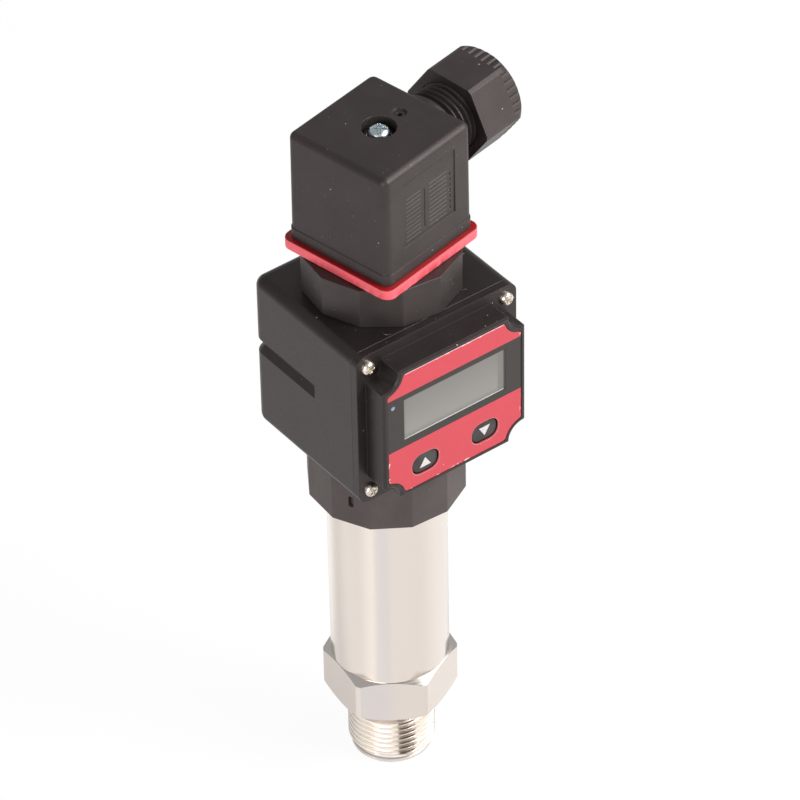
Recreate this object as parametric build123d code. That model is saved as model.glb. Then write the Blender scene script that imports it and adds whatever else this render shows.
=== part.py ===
from build123d import *
from math import asin, atan, cos, degrees, radians, sin
import os

# A compact pressure transmitter: a stainless process fitting and sleeve, a display head that
# turns on a twelve-sided collar, and a square four-pole plug with a side cable gland.
# Millimetres, +Z up. The origin is on the vertical axis, at the sealing shoulder under the
# hexagon. The display faces -Y, and the gland points about +X.

# Clearances
SLIP = 0.03            # radial, between pieces that slide together and then stay put
RUNNING = 0.05         # radial, on a spigot that turns in its bore
SEAT = 0.05            # between faces that are clamped or rest on each other
HEAD_GAP = 0.15        # between the turning head and the collar below it
LOOSE = 0.30           # around an insert in its pocket

# Process fitting
THREAD_RADIUS = 10.0
THREAD_LENGTH = 17.5
RELIEF_RADIUS = 9.0
RELIEF_LENGTH = 3.4
PILOT_RADIUS = 8.9
PILOT_LENGTH = 3.0
PILOT_CHAMFER = 0.8
PORT_RADIUS = 3.0
HEX_ACROSS = 27.0
HEX_HEIGHT = 11.4
HEX_TURN = -6.0
HEX_CORNER_CUT = 0.35
HEX_CHAMFER_RISE = 1.1

# Pressure capsule in the fitting
CAPSULE_SEAT = 4.4
CAPSULE_RADIUS = 9.5
CAPSULE_HEIGHT = 9.0
CAPSULE_DISH_RADIUS = 7.0
CAPSULE_DISH_DEPTH = 0.4
CAPSULE_GROOVE_DEPTH = 1.3
CAPSULE_GROOVE_WIDTH = 2.0
RETAINER_HEIGHT = 3.0
RETAINER_BORE = 6.6
RETAINER_NOTCH = 2.0
PIN_RADIUS = 0.35
PIN_CIRCLE_RADIUS = 4.4
PIN_COUNT = 5
VENT_TUBE_RADIUS = 0.6
VENT_TUBE_LENGTH = 4.0

# Steel sleeve
SLEEVE_RADIUS = 13.5
SLEEVE_WALL = 1.75
SPIGOT_HEIGHT = 8.0
SLEEVE_EDGE = 0.3

# Amplifier board in the sleeve
CARRIER_RING_HEIGHT = 8.0
CARRIER_RING_WALL = 1.9
BOARD_THICKNESS = 1.6
AMPLIFIER_RADIUS = 11.3
BUSH_RADIUS = 2.8
BUSH_HEIGHT = 6.0
LEAD_BUNDLE_RADIUS = 1.5
LEAD_BUNDLE_BEND = 5.0
LEAD_CLEARANCE = 0.3
CHIP_WIDTH = 5.0
CHIP_DEPTH = 4.0
CHIP_HEIGHT = 1.5
CHIP_OFFSET = 7.4
COIL_WIDTH = 1.6
COIL_DEPTH = 2.6
COIL_HEIGHT = 1.0
COIL_OFFSET = 4.6
TRIMMER_WIDTH = 4.2
TRIMMER_DEPTH = 4.6
TRIMMER_HEIGHT = 5.0
TRIMMER_OFFSET = 7.8
TRIMMER_DRIVE_RADIUS = 1.2
TRIMMER_DRIVE_RISE = 0.6
TRIMMER_SLOT_WIDTH = 0.5
TRIMMER_SLOT_DEPTH = 0.3
PIN_STAND = 0.8

# Lower collar
COLLAR_SIDES = 12
LOWER_COLLAR_ACROSS = 34.7
LOWER_COLLAR_BASE = 61.6
LOWER_COLLAR_TURN = 11.2
SOCKET_DEPTH = 8.0
COLLAR_BORE = 6.0
SPIGOT_RADIUS = 10.0
SPIGOT_RISE = 5.6
ORING_SECTION = 1.5
CLIP_THICKNESS = 1.0
CLIP_WIDTH = 3.0
CLIP_GROOVE_DEPTH = 1.0
VENT_SLOT_WIDTH = 1.1
VENT_SLOT_HEIGHT = 2.8
VENT_SLOT_DEPTH = 1.2
VENT_SLOT_LEVEL = 6.4

# Turning stop between the head and the collar
TURN_LIMIT = 165.0
STOP_CIRCLE_RADIUS = 13.4
STOP_PIN_RADIUS = 0.8
STOP_PIN_REACH = 1.2
STOP_CLEARANCE_ANGLE = 0.6

# Display housing
BOX_WIDTH = 43.2
BOX_HEIGHT = 40.7
BOX_BACK = 18.4
BOX_BASE = 78.15
FLANGE_FACE = -19.2
COVER_PLATE = 2.0
WALL = 2.4
BOX_CORNER = 2.5
BOX_BACK_ROUND = 3.0
CAVITY_CORNER = 1.2
GROOVE_WIDTH = 3.8
GROOVE_DEPTH = 1.2
GROOVE_LEVEL = 1.7
GROOVE_FRONT = -3.8

# Front cover
BEZEL_SIDE_MARGIN = 2.35
BEZEL_END_MARGIN = 2.75
BEZEL_RISE = 6.2
BEZEL_EDGE = 0.5
BEZEL_WALL = 1.8
FACE_WALL = 2.0
LABEL_RIM = 1.15
LABEL_ROUND = 0.9
LABEL_RECESS = 0.5
LABEL_FILM = 0.35
LABEL_CLEARANCE = 0.1
SCREW_SIDE_INSET = 2.95
SCREW_END_INSET = 3.25
SCALLOP_RADIUS = 3.75
SCALLOP_ROUND = 0.5
LIP_DEPTH = 2.4
LIP_WALL = 1.1
SEAL_THICKNESS = 1.0
SEAL_DEPTH = 1.6

# Cover screws
COVER_SCREW_RADIUS = 1.0
COVER_SCREW_LENGTH = 9.0
COVER_SCREW_HEAD = 1.65
COVER_SCREW_HEAD_HEIGHT = 1.25
BOSS_RADIUS = 2.6
BOSS_LENGTH = 11.0

# Display window and bands, measured in from the edges of the bezel
UPPER_BAND_HEIGHT = 6.8
LOWER_BAND_HEIGHT = 13.9
VIEW_SIDE_MARGIN = 5.55
VIEW_TOP_MARGIN = 1.45
VIEW_BOTTOM_MARGIN = 1.85
LENS_OVERLAP = 0.9
LENS_THICKNESS = 1.2
LCD_SIDE_BORDER = 2.3
LCD_END_BORDER = 1.6
LCD_THICKNESS = 1.8
LCD_GAP = 0.2
LCD_FRAME_WALL = 1.4
LED_INSET = 2.65
LED_DROP = 2.3
LED_RADIUS = 0.5

# Display board
BOARD_CLEARANCE = 0.45
DISPLAY_BOARD_FRONT = -17.8
POST_RADIUS = 1.5
POST_SIDE_INSET = 6.45
POST_END_INSET = 4.6
BOARD_SCREW_RADIUS = 0.8
POST_FLOOR = 1.0
BOARD_SCREW_HEAD = 1.5
BOARD_SCREW_HEAD_HEIGHT = 1.0
DISPLAY_CHIP_SIZE = 7.0
DISPLAY_CHIP_HEIGHT = 1.4
DISPLAY_CHIP_INSET = 9.6
CAPACITOR_RADIUS = 2.0
CAPACITOR_HEIGHT = 5.0
CAPACITOR_INSET = 7.25
LEAD_CONNECTOR_WIDTH = 8.0
LEAD_CONNECTOR_HEIGHT = 5.0
LEAD_CONNECTOR_DEPTH = 4.0
LEAD_CONNECTOR_INSET = 11.0
WIRE_RADIUS = 0.8
WIRE_BEND = 3.0
WIRE_RISE = 1.4

# Push buttons
BUTTON_SIDE_INSET = 11.15
BUTTON_END_INSET = 6.7
BUTTON_WIDTH = 7.0
BUTTON_HEIGHT = 5.2
BUTTON_CORNER = 2.3
BUTTON_CLEARANCE = 0.15
BUTTON_SUNK = 0.25
BUTTON_EDGE = 0.3
BUTTON_FLANGE = 0.7
BUTTON_FLANGE_THICKNESS = 0.9
BUTTON_TRAVEL = 0.4
ARROW_WIDTH = 3.0
ARROW_HEIGHT = 2.4
ARROW_THICKNESS = 0.08
SWITCH_SIZE = 6.0
SWITCH_HEIGHT = 2.9
STEM_RADIUS = 1.5

# Upper collar, which is the plug's fixed half
UPPER_COLLAR_ACROSS = 34.6
UPPER_COLLAR_HEIGHT = 9.9
UPPER_COLLAR_TURN = 7.4
BASE_SPIGOT_RADIUS = 10.5
BASE_SPIGOT_LENGTH = 8.7
PLATFORM_SIZE = 21.4
PLATFORM_HEIGHT = 3.8
LOCK_NUT_ACROSS = 26.0
LOCK_NUT_HEIGHT = 3.4
BASE_GROOVE_CIRCLE_RADIUS = 13.2
BLADE_CIRCLE_RADIUS = 9.0
BLADE_WIDTH = 6.3
BLADE_THICKNESS = 0.8
BLADE_TAIL = 2.4
BLADE_RISE = 6.4
INSERT_RADIUS = 2.6
INSERT_DEPTH = 9.0

# Profile gasket
GASKET_SIZE = 30.5
GASKET_CORNER = 2.4
GASKET_THICKNESS = 2.6
GASKET_EDGE = 0.3

# Plug hood, in its own turned axes
HOOD_TURN = 11.6
HOOD_SIZE = 27.9
HOOD_HEIGHT = 27.85
HOOD_DRAFT = 0.4
HOOD_CORNER = 1.9
HOOD_TOP_ROUND = 1.6
SKIRT_HEIGHT = 2.8
SKIRT_STEP = 0.15
HOOD_WALL = 2.0
SCREW_WELL_RADIUS = 3.85
SCREW_WELL_DEPTH = 3.2
WELL_WALL = 1.3
TUBE_RADIUS = 3.6
DIMPLE_RADIUS = 1.6
DIMPLE_OFFSET = 6.6
DIMPLE_DEPTH = 0.5
DIMPLE_HOLE_RADIUS = 0.6
DIMPLE_HOLE_DEPTH = 1.5
PANEL_WIDTH = 16.6
PANEL_HEIGHT = 16.6
PANEL_LEVEL = 15.55
PANEL_DEPTH = 0.35
PANEL_LINE_WIDTH = 0.3
PANEL_LINE_DEPTH = 0.2
PANEL_LINE_BASE = 1.4
PANEL_LINE_TOP = 11.7
PANEL_DIVIDER = -1.3
PANEL_DASH_SIDE = 6.9
PANEL_DASH_COUNT = 7
PANEL_DASH_LENGTH = 1.1

# Contact insert in the hood
CARRIER_HEIGHT = 10.6
CARRIER_CORNER = 1.0
SOCKET_WIDTH = 7.2
SOCKET_THICKNESS = 3.2
SOCKET_HEIGHT = 8.6
SOCKET_FLOOR = 1.1
TERMINAL_SCREW_RADIUS = 1.2
TERMINAL_SCREW_HEAD = 1.5
TERMINAL_SCREW_LENGTH = 2.6
TERMINAL_HEAD_HEIGHT = 1.2
TERMINAL_SLOT_WIDTH = 0.5
FIXING_SCREW_RADIUS = 1.5
FIXING_SCREW_HEAD = 2.6
FIXING_SCREW_HEAD_HEIGHT = 2.2
FIXING_SCREW_BITE = 8.0
WASHER_THICKNESS = 0.8

# Cable gland, along the hood's own X
GLAND_DROP = 10.0
GLAND_BOSS_RADIUS = 8.3
GLAND_BOSS_LENGTH = 1.9
GLAND_THREAD_GAP = 0.8
GLAND_THREAD_RADIUS = 8.0
GLAND_THREAD_LENGTH = 10.65
GLAND_PITCH = 1.5
GLAND_THREAD_DEPTH = 0.9
GLAND_BORE = 5.2
SEAL_SEAT_RADIUS = 6.2
SEAL_SEAT_DEPTH = 7.8
GLAND_SEAL_BORE = 3.6
GLAND_SEAL_LENGTH = 6.9
GLAND_SEAL_LEAD_IN = 0.9
THRUST_RING_BORE = 4.3
THRUST_RING_THICKNESS = 1.2
NUT_ACROSS = 19.9
NUT_LENGTH = 13.3
NUT_GAP = 8.0
NUT_FACE_ROUND = 3.0
NUT_CORNER_CUT = 0.3
NUT_TURN = 4.1
NUT_BORE_CLEARANCE = 0.12
NUT_RECESS = 0.6
NUT_OPENING = 4.9
NUT_RIBS_PER_SIDE = 6
NUT_RIB_PITCH = 1.75
NUT_RIB_WIDTH = 0.95
NUT_RIB_DEPTH = 0.3
NUT_RIB_LENGTH = 3.6
NUT_TURNS_IN = 1.5
NUT_TURNS_OUT = 3.0

# Levels and depths worked out from the sizes above
BOX_TOP = BOX_BASE + BOX_HEIGHT
BOX_MIDDLE = BOX_BASE + BOX_HEIGHT / 2
SHELL_FRONT = FLANGE_FACE + COVER_PLATE
BEZEL_WIDTH = BOX_WIDTH - 2 * BEZEL_SIDE_MARGIN
BEZEL_HEIGHT = BOX_HEIGHT - 2 * BEZEL_END_MARGIN
BEZEL_HALF_WIDTH = BEZEL_WIDTH / 2
BEZEL_HALF_HEIGHT = BEZEL_HEIGHT / 2
COLLAR_TOP = BOX_BASE - HEAD_GAP
SLEEVE_BASE = HEX_HEIGHT
SLEEVE_TOP = LOWER_COLLAR_BASE + SOCKET_DEPTH
SLEEVE_BORE = SLEEVE_RADIUS - SLEEVE_WALL
SPIGOT_TOP = HEX_HEIGHT + SPIGOT_HEIGHT
CAPSULE_TOP = CAPSULE_SEAT + CAPSULE_HEIGHT
AMPLIFIER_LEVEL = SPIGOT_TOP + CARRIER_RING_HEIGHT
AMPLIFIER_TOP = AMPLIFIER_LEVEL + BOARD_THICKNESS
GASKET_BASE = BOX_TOP + UPPER_COLLAR_HEIGHT
HOOD_BASE = GASKET_BASE + GASKET_THICKNESS
HOOD_TOP = HOOD_BASE + HOOD_HEIGHT
PLATFORM_TOP = GASKET_BASE + PLATFORM_HEIGHT
CARRIER_BASE = PLATFORM_TOP + SEAT
CARRIER_TOP = CARRIER_BASE + CARRIER_HEIGHT
WELL_FLOOR = HOOD_TOP - SCREW_WELL_DEPTH
GLAND_LEVEL = HOOD_TOP - GLAND_DROP
HOOD_HALF = HOOD_SIZE / 2
THREAD_START = HOOD_HALF + GLAND_BOSS_LENGTH
THREAD_END = THREAD_START + GLAND_THREAD_LENGTH
SEAL_START = THREAD_END - SEAL_SEAT_DEPTH
NUT_START = HOOD_HALF + NUT_GAP
NUT_END = NUT_START + NUT_LENGTH
NUT_SHOULDER = THREAD_END + NUT_RECESS + NUT_TURNS_IN * GLAND_PITCH + LOOSE / 2
BEZEL_FACE = FLANGE_FACE - BEZEL_RISE
LABEL_FLOOR = BEZEL_FACE + LABEL_RECESS
LABEL_FACE = LABEL_FLOOR - LABEL_FILM
FACE_BACK = LABEL_FLOOR + FACE_WALL
LCD_FRONT = FACE_BACK + LCD_GAP
LCD_BACK = LCD_FRONT + LCD_THICKNESS
DISPLAY_BOARD_BACK = DISPLAY_BOARD_FRONT + BOARD_THICKNESS
BUTTON_FACE = LABEL_FACE + BUTTON_SUNK
BUTTON_BACK = FACE_BACK + LCD_GAP + BUTTON_FLANGE_THICKNESS
SWITCH_FACE = DISPLAY_BOARD_FRONT - SWITCH_HEIGHT
SCREW_SIDE = BOX_WIDTH / 2 - SCREW_SIDE_INSET
SCREW_LEVEL = BOX_HEIGHT / 2 - SCREW_END_INSET
LEAD_CONNECTOR_LEVEL = BOX_MIDDLE - BEZEL_HALF_HEIGHT + LEAD_CONNECTOR_INSET
WIRE_LEVEL = BOX_MIDDLE + WIRE_RISE

# The same for the display, as places across and up from the middle of the bezel
WINDOW_TOP = BEZEL_HALF_HEIGHT - UPPER_BAND_HEIGHT
WINDOW_BOTTOM = LOWER_BAND_HEIGHT - BEZEL_HALF_HEIGHT
LCD_VIEW_WIDTH = BEZEL_WIDTH - 2 * VIEW_SIDE_MARGIN
LCD_VIEW_HEIGHT = WINDOW_TOP - WINDOW_BOTTOM - VIEW_TOP_MARGIN - VIEW_BOTTOM_MARGIN
LCD_LEVEL = WINDOW_TOP - VIEW_TOP_MARGIN - LCD_VIEW_HEIGHT / 2
LCD_WIDTH = LCD_VIEW_WIDTH + 2 * LCD_SIDE_BORDER
LCD_HEIGHT = LCD_VIEW_HEIGHT + 2 * LCD_END_BORDER
LED_SIDE = LED_INSET - BEZEL_HALF_WIDTH
LED_LEVEL = WINDOW_TOP - LED_DROP
POST_SIDE = BEZEL_HALF_WIDTH - POST_SIDE_INSET
POST_LEVEL = BEZEL_HALF_HEIGHT - POST_END_INSET
DISPLAY_CHIP_LEVEL = BEZEL_HALF_HEIGHT - DISPLAY_CHIP_INSET
CAPACITOR_SIDE = BEZEL_HALF_WIDTH - CAPACITOR_INSET
BUTTON_SIDE = BEZEL_HALF_WIDTH - BUTTON_SIDE_INSET
BUTTON_LEVEL = BUTTON_END_INSET - BEZEL_HALF_HEIGHT


def rod(radius, low, high):
    """A round bar about the Z axis."""
    return Pos(0, 0, (low + high) / 2) * Cylinder(radius, high - low)


def ring(outer, inner, low, high):
    """A round tube about the Z axis."""
    return rod(outer, low, high) - rod(inner, low - 1, high + 1)


def prism(sides, across, low, high, turn):
    """A bar with flat sides, across flats, with its first flat facing the turned +X."""
    outline = RegularPolygon(across / 2, sides, major_radius=False, rotation=180 / sides)
    return Rot(0, 0, turn) * (Pos(0, 0, low) * extrude(outline, high - low))


def torus(circle, section, level):
    """A round-section ring that lies flat."""
    return Pos(0, 0, level) * Torus(circle, section / 2)


def block(width, depth, low, high, x=0.0, y=0.0):
    """An upright rectangular bar."""
    return Pos(x, y, (low + high) / 2) * Box(width, depth, high - low)


def plate(outline, front, back):
    """A flat piece parallel to the display, from its front to its back depth along Y."""
    face = Plane(origin=(0, back, BOX_MIDDLE), x_dir=(1, 0, 0), z_dir=(0, -1, 0))
    return extrude(face * outline, back - front)


def on_gland(shape):
    """Turns a piece made about +Z onto the axis of the gland."""
    return Rot(0, 0, HOOD_TURN) * (Pos(0, 0, GLAND_LEVEL) * (Rot(0, 90, 0) * shape))


def corner_circles(radius):
    """A circle about each of the four cover screws."""
    return Sketch() + GridLocations(2 * SCREW_SIDE, 2 * SCREW_LEVEL, 2, 2) * Circle(radius)


def cross_slot(width, span, low, high):
    """The cross of a screwdriver recess."""
    return block(width, span, low, high) + block(span, width, low, high)


def pan_screw(radius, length, head_radius, head_height):
    """A pan-head screw that points down, with the underside of its head at zero."""
    head = rod(head_radius, 0, head_height)
    head = fillet(head.edges().group_by(Axis.Z)[-1], head_height * 0.45)
    shank = rod(radius, -length, 0)
    shank = chamfer(shank.edges().group_by(Axis.Z)[0], radius * 0.4)
    depth = head_height * 0.6
    recess = cross_slot(head_radius * 0.32, head_radius * 1.25, head_height - depth, head_height + 1)
    return head + shank - recess


def process_fitting():
    across_corners = HEX_ACROSS / cos(radians(30))
    body = prism(6, HEX_ACROSS, 0, HEX_HEIGHT, HEX_TURN)
    body &= prism(6, across_corners - 2 * HEX_CORNER_CUT, 0, HEX_HEIGHT, HEX_TURN + 30)
    cone_radius = across_corners / 2
    barrel = rod(cone_radius, 0, HEX_HEIGHT)
    barrel = chamfer(barrel.edges().filter_by(GeomType.CIRCLE), HEX_CHAMFER_RISE, 2 * HEX_CHAMFER_RISE)
    body &= barrel
    body += rod(SLEEVE_BORE - SLIP, HEX_HEIGHT - 1, SPIGOT_TOP)
    body += rod(RELIEF_RADIUS, -RELIEF_LENGTH, 1)
    thread_end = -(THREAD_LENGTH - PILOT_LENGTH)
    body += rod(THREAD_RADIUS, thread_end, -RELIEF_LENGTH)
    pilot = rod(PILOT_RADIUS, -THREAD_LENGTH, thread_end)
    body += chamfer(pilot.edges().group_by(Axis.Z)[0], PILOT_CHAMFER)
    body -= rod(PORT_RADIUS, -THREAD_LENGTH - 1, CAPSULE_SEAT + 1)
    body -= rod(CAPSULE_RADIUS + RUNNING, CAPSULE_SEAT, SPIGOT_TOP + 1)
    return body


def pressure_capsule():
    body = rod(CAPSULE_RADIUS, CAPSULE_SEAT, CAPSULE_TOP)
    body -= rod(CAPSULE_DISH_RADIUS, CAPSULE_SEAT - 1, CAPSULE_SEAT + CAPSULE_DISH_DEPTH)
    middle = CAPSULE_SEAT + CAPSULE_HEIGHT / 3
    root = CAPSULE_RADIUS - CAPSULE_GROOVE_DEPTH
    half = CAPSULE_GROOVE_WIDTH / 2
    body -= ring(CAPSULE_RADIUS + 1, root, middle - half, middle + half)
    return body


def capsule_oring():
    section = CAPSULE_GROOVE_DEPTH
    return torus(CAPSULE_RADIUS - section / 2, section - SEAT, CAPSULE_SEAT + CAPSULE_HEIGHT / 3)


def capsule_pins():
    top = AMPLIFIER_TOP + PIN_STAND
    pins = PolarLocations(PIN_CIRCLE_RADIUS, PIN_COUNT) * rod(PIN_RADIUS, CAPSULE_TOP, top)
    vent = ring(VENT_TUBE_RADIUS, VENT_TUBE_RADIUS / 2, CAPSULE_TOP, CAPSULE_TOP + VENT_TUBE_LENGTH)
    return Compound(list(pins) + [vent])


def capsule_retainer():
    low = CAPSULE_TOP + SEAT
    body = ring(CAPSULE_RADIUS, RETAINER_BORE, low, low + RETAINER_HEIGHT)
    notch = block(2 * THREAD_RADIUS, RETAINER_NOTCH, low + RETAINER_HEIGHT / 2, low + RETAINER_HEIGHT + 1)
    return body - notch


def sleeve():
    body = ring(SLEEVE_RADIUS, SLEEVE_BORE, SLEEVE_BASE, SLEEVE_TOP)
    rims = body.edges().filter_by(GeomType.CIRCLE).filter_by(lambda e: e.radius > SLEEVE_BORE + 1)
    return chamfer(rims, SLEEVE_EDGE)


def amplifier_carrier():
    outer = SLEEVE_BORE - SEAT
    body = ring(outer, outer - CARRIER_RING_WALL, SPIGOT_TOP, AMPLIFIER_LEVEL)
    return body - block(3 * outer, RETAINER_NOTCH, SPIGOT_TOP + 2, AMPLIFIER_LEVEL - 2)


def amplifier_board():
    body = rod(AMPLIFIER_RADIUS, AMPLIFIER_LEVEL, AMPLIFIER_TOP)
    hole = rod(PIN_RADIUS + SLIP, AMPLIFIER_LEVEL - 1, AMPLIFIER_TOP + 1)
    for hole in PolarLocations(PIN_CIRCLE_RADIUS, PIN_COUNT) * hole:
        body -= hole
    return body


def amplifier_parts():
    low = AMPLIFIER_TOP
    chip = block(CHIP_WIDTH, CHIP_DEPTH, low, low + CHIP_HEIGHT, y=CHIP_OFFSET)
    coil = block(COIL_WIDTH, COIL_DEPTH, low, low + COIL_HEIGHT, y=CHIP_OFFSET)
    return Compound([chip, Pos(-COIL_OFFSET, 0, 0) * coil, Pos(COIL_OFFSET, 0, 0) * coil])


def trimmers():
    top = AMPLIFIER_TOP + TRIMMER_HEIGHT
    drive_top = top + TRIMMER_DRIVE_RISE
    body = block(TRIMMER_WIDTH, TRIMMER_DEPTH, AMPLIFIER_TOP, top)
    body += rod(TRIMMER_DRIVE_RADIUS, top, drive_top)
    span = 3 * TRIMMER_DRIVE_RADIUS
    body -= block(span, TRIMMER_SLOT_WIDTH, drive_top - TRIMMER_SLOT_DEPTH, drive_top + 1)
    return Compound([Pos(side * TRIMMER_OFFSET, 0, 0) * body for side in (-1, 1)])


def lead_bush():
    return ring(BUSH_RADIUS, LEAD_BUNDLE_RADIUS + LEAD_CLEARANCE, AMPLIFIER_TOP, AMPLIFIER_TOP + BUSH_HEIGHT)


def lower_collar():
    body = prism(COLLAR_SIDES, LOWER_COLLAR_ACROSS, LOWER_COLLAR_BASE, COLLAR_TOP, LOWER_COLLAR_TURN + 15)
    body += rod(SPIGOT_RADIUS, COLLAR_TOP - 1, COLLAR_TOP + SPIGOT_RISE)
    body -= rod(SLEEVE_RADIUS + SLIP, LOWER_COLLAR_BASE - 1, SLEEVE_TOP)
    body -= rod(COLLAR_BORE, SLEEVE_TOP - 1, COLLAR_TOP + SPIGOT_RISE + 1)
    seal_level = LOWER_COLLAR_BASE + SOCKET_DEPTH / 2
    body -= rod(SLEEVE_RADIUS + ORING_SECTION, seal_level - ORING_SECTION, seal_level + ORING_SECTION)
    swivel_level = BOX_BASE + WALL / 2
    half = ORING_SECTION / 2 + 2 * SEAT
    groove = ring(SPIGOT_RADIUS + 1, SPIGOT_RADIUS - ORING_SECTION, swivel_level - half, swivel_level + half)
    clip_low = BOX_BASE + WALL + HEAD_GAP
    clip_groove = ring(SPIGOT_RADIUS + 1, SPIGOT_RADIUS - CLIP_GROOVE_DEPTH, clip_low - SEAT,
                       clip_low + CLIP_THICKNESS + SEAT)
    body = body - groove - clip_groove - stop_groove() - vent_slot()
    return body


def stop_groove():
    """The groove in the collar's top that the stop pin runs in, with a web left at the front."""
    outer = STOP_CIRCLE_RADIUS + STOP_PIN_RADIUS + LOOSE
    inner = STOP_CIRCLE_RADIUS - STOP_PIN_RADIUS - LOOSE
    groove = ring(outer, inner, COLLAR_TOP - STOP_PIN_REACH - LOOSE, COLLAR_TOP + 1)
    pin_angle = degrees(asin(STOP_PIN_RADIUS / STOP_CIRCLE_RADIUS))
    half_web = 180 - TURN_LIMIT - pin_angle - STOP_CLEARANCE_ANGLE
    reach = 2 * outer
    spread = reach * sin(radians(half_web))
    depth = reach * cos(radians(half_web))
    web = extrude(make_face(Polyline((0, 0), (spread, -depth), (-spread, -depth), close=True)), BOX_TOP)
    return groove - web


def vent_slot():
    """A small upright slot in the middle of one of the collar's flats."""
    facet = -180 + LOWER_COLLAR_TURN + 15
    middle = LOWER_COLLAR_BASE + VENT_SLOT_LEVEL
    cut = block(2 * VENT_SLOT_DEPTH, VENT_SLOT_WIDTH, middle - VENT_SLOT_HEIGHT / 2,
                middle + VENT_SLOT_HEIGHT / 2, x=LOWER_COLLAR_ACROSS / 2)
    return Rot(0, 0, facet) * cut


def sleeve_oring():
    circle = SLEEVE_RADIUS + ORING_SECTION / 2
    return torus(circle, ORING_SECTION - 2 * SEAT, LOWER_COLLAR_BASE + SOCKET_DEPTH / 2)


def swivel_oring():
    circle = SPIGOT_RADIUS - ORING_SECTION / 2
    return torus(circle, ORING_SECTION - 2 * SEAT, BOX_BASE + WALL / 2)


def swivel_clip():
    low = BOX_BASE + WALL + HEAD_GAP
    inner = SPIGOT_RADIUS - CLIP_GROOVE_DEPTH + SLIP
    body = ring(inner + CLIP_WIDTH, inner, low, low + CLIP_THICKNESS)
    return body - block(inner * 0.8, 2 * SPIGOT_RADIUS, low - 1, low + 3, y=SPIGOT_RADIUS)


def stop_pin():
    body = rod(STOP_PIN_RADIUS, BOX_BASE - STOP_PIN_REACH, BOX_BASE + WALL)
    return Pos(0, STOP_CIRCLE_RADIUS, 0) * body


def housing_outline():
    return RectangleRounded(BOX_WIDTH, BOX_HEIGHT, BOX_CORNER)


def opening_outline():
    """The opening in the front of the housing, inside its four screw bosses."""
    inside = RectangleRounded(BOX_WIDTH - 2 * WALL, BOX_HEIGHT - 2 * WALL, CAVITY_CORNER)
    return inside - corner_circles(BOSS_RADIUS)


def waist_outline(inset):
    """The housing's section at the level of its groove, smaller all round by the inset."""
    return RectangleRounded(BOX_WIDTH - 2 * inset, 2 * (BOX_BACK - inset), BOX_BACK_ROUND - inset)


def waist_groove():
    """The V-shaped groove that starts on one side, runs round the back and ends on the other side."""
    half = GROOVE_WIDTH / 2
    slope = degrees(atan(GROOVE_DEPTH / half))
    cone = extrude(waist_outline(GROOVE_DEPTH), 1.2 * half, taper=-slope)
    core = cone + Rot(180, 0, 0) * cone
    length = BOX_BACK + 1 - GROOVE_FRONT
    band = block(BOX_WIDTH + 2, length, -1.1 * half, 1.1 * half, y=GROOVE_FRONT + length / 2)
    return Pos(0, 0, BOX_MIDDLE + GROOVE_LEVEL) * (band - core)


def housing_shell():
    outer = plate(housing_outline(), SHELL_FRONT, BOX_BACK)
    outer = fillet(outer.edges().group_by(Axis.Y)[-1], BOX_BACK_ROUND)
    cavity = plate(RectangleRounded(BOX_WIDTH - 2 * WALL, BOX_HEIGHT - 2 * WALL, CAVITY_CORNER),
                   SHELL_FRONT - 1, BOX_BACK - WALL)
    bosses = plate(corner_circles(BOSS_RADIUS), SHELL_FRONT, SHELL_FRONT + BOSS_LENGTH) & outer
    body = outer - cavity + bosses
    body -= plate(corner_circles(COVER_SCREW_RADIUS + SLIP), SHELL_FRONT - 1, SHELL_FRONT + BOSS_LENGTH - 1)
    body -= rod(SPIGOT_RADIUS + RUNNING, BOX_BASE - 1, BOX_BASE + WALL + 1)
    body -= Pos(0, STOP_CIRCLE_RADIUS, 0) * rod(STOP_PIN_RADIUS, BOX_BASE - 1, BOX_BASE + WALL)
    body -= rod(BASE_SPIGOT_RADIUS + SLIP, BOX_TOP - WALL - 1, BOX_TOP + 1)
    return body - waist_groove()


def bezel_frame(inset):
    """The raised block of the cover: a rectangle with a hollow round each screw."""
    frame = Rectangle(BEZEL_WIDTH - 2 * inset, BEZEL_HEIGHT - 2 * inset)
    return frame - corner_circles(SCALLOP_RADIUS + inset)


def bezel_outline(inset, rounding):
    """The same with the ends of each hollow rounded."""
    frame = bezel_frame(inset)
    return fillet(frame.vertices(), rounding)


def button_outline(grow):
    """Both buttons, larger all round by the given amount."""
    shape = RectangleRounded(BUTTON_WIDTH + 2 * grow, BUTTON_HEIGHT + 2 * grow, BUTTON_CORNER + grow)
    left = Pos(-BUTTON_SIDE, BUTTON_LEVEL) * shape
    right = Pos(BUTTON_SIDE, BUTTON_LEVEL) * shape
    return Sketch() + [left, right]


def lcd_outline(grow):
    return Pos(0, LCD_LEVEL) * Rectangle(LCD_VIEW_WIDTH + 2 * grow, LCD_VIEW_HEIGHT + 2 * grow)


def led_outline(grow):
    return Pos(LED_SIDE, LED_LEVEL) * Circle(LED_RADIUS + grow)


def post_points():
    return [(-POST_SIDE, POST_LEVEL), (POST_SIDE, POST_LEVEL), (0, -POST_LEVEL)]


def post_outline(radius):
    return Sketch() + [Pos(x, z) * Circle(radius) for x, z in post_points()]


def cover_inside(inset):
    """The hollow of the cover, inside its bezel and its lip, smaller all round by the inset."""
    lip = offset(opening_outline(), -SEAL_THICKNESS - SEAT - LIP_WALL - inset)
    return lip & bezel_frame(BEZEL_WALL + inset)


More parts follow.
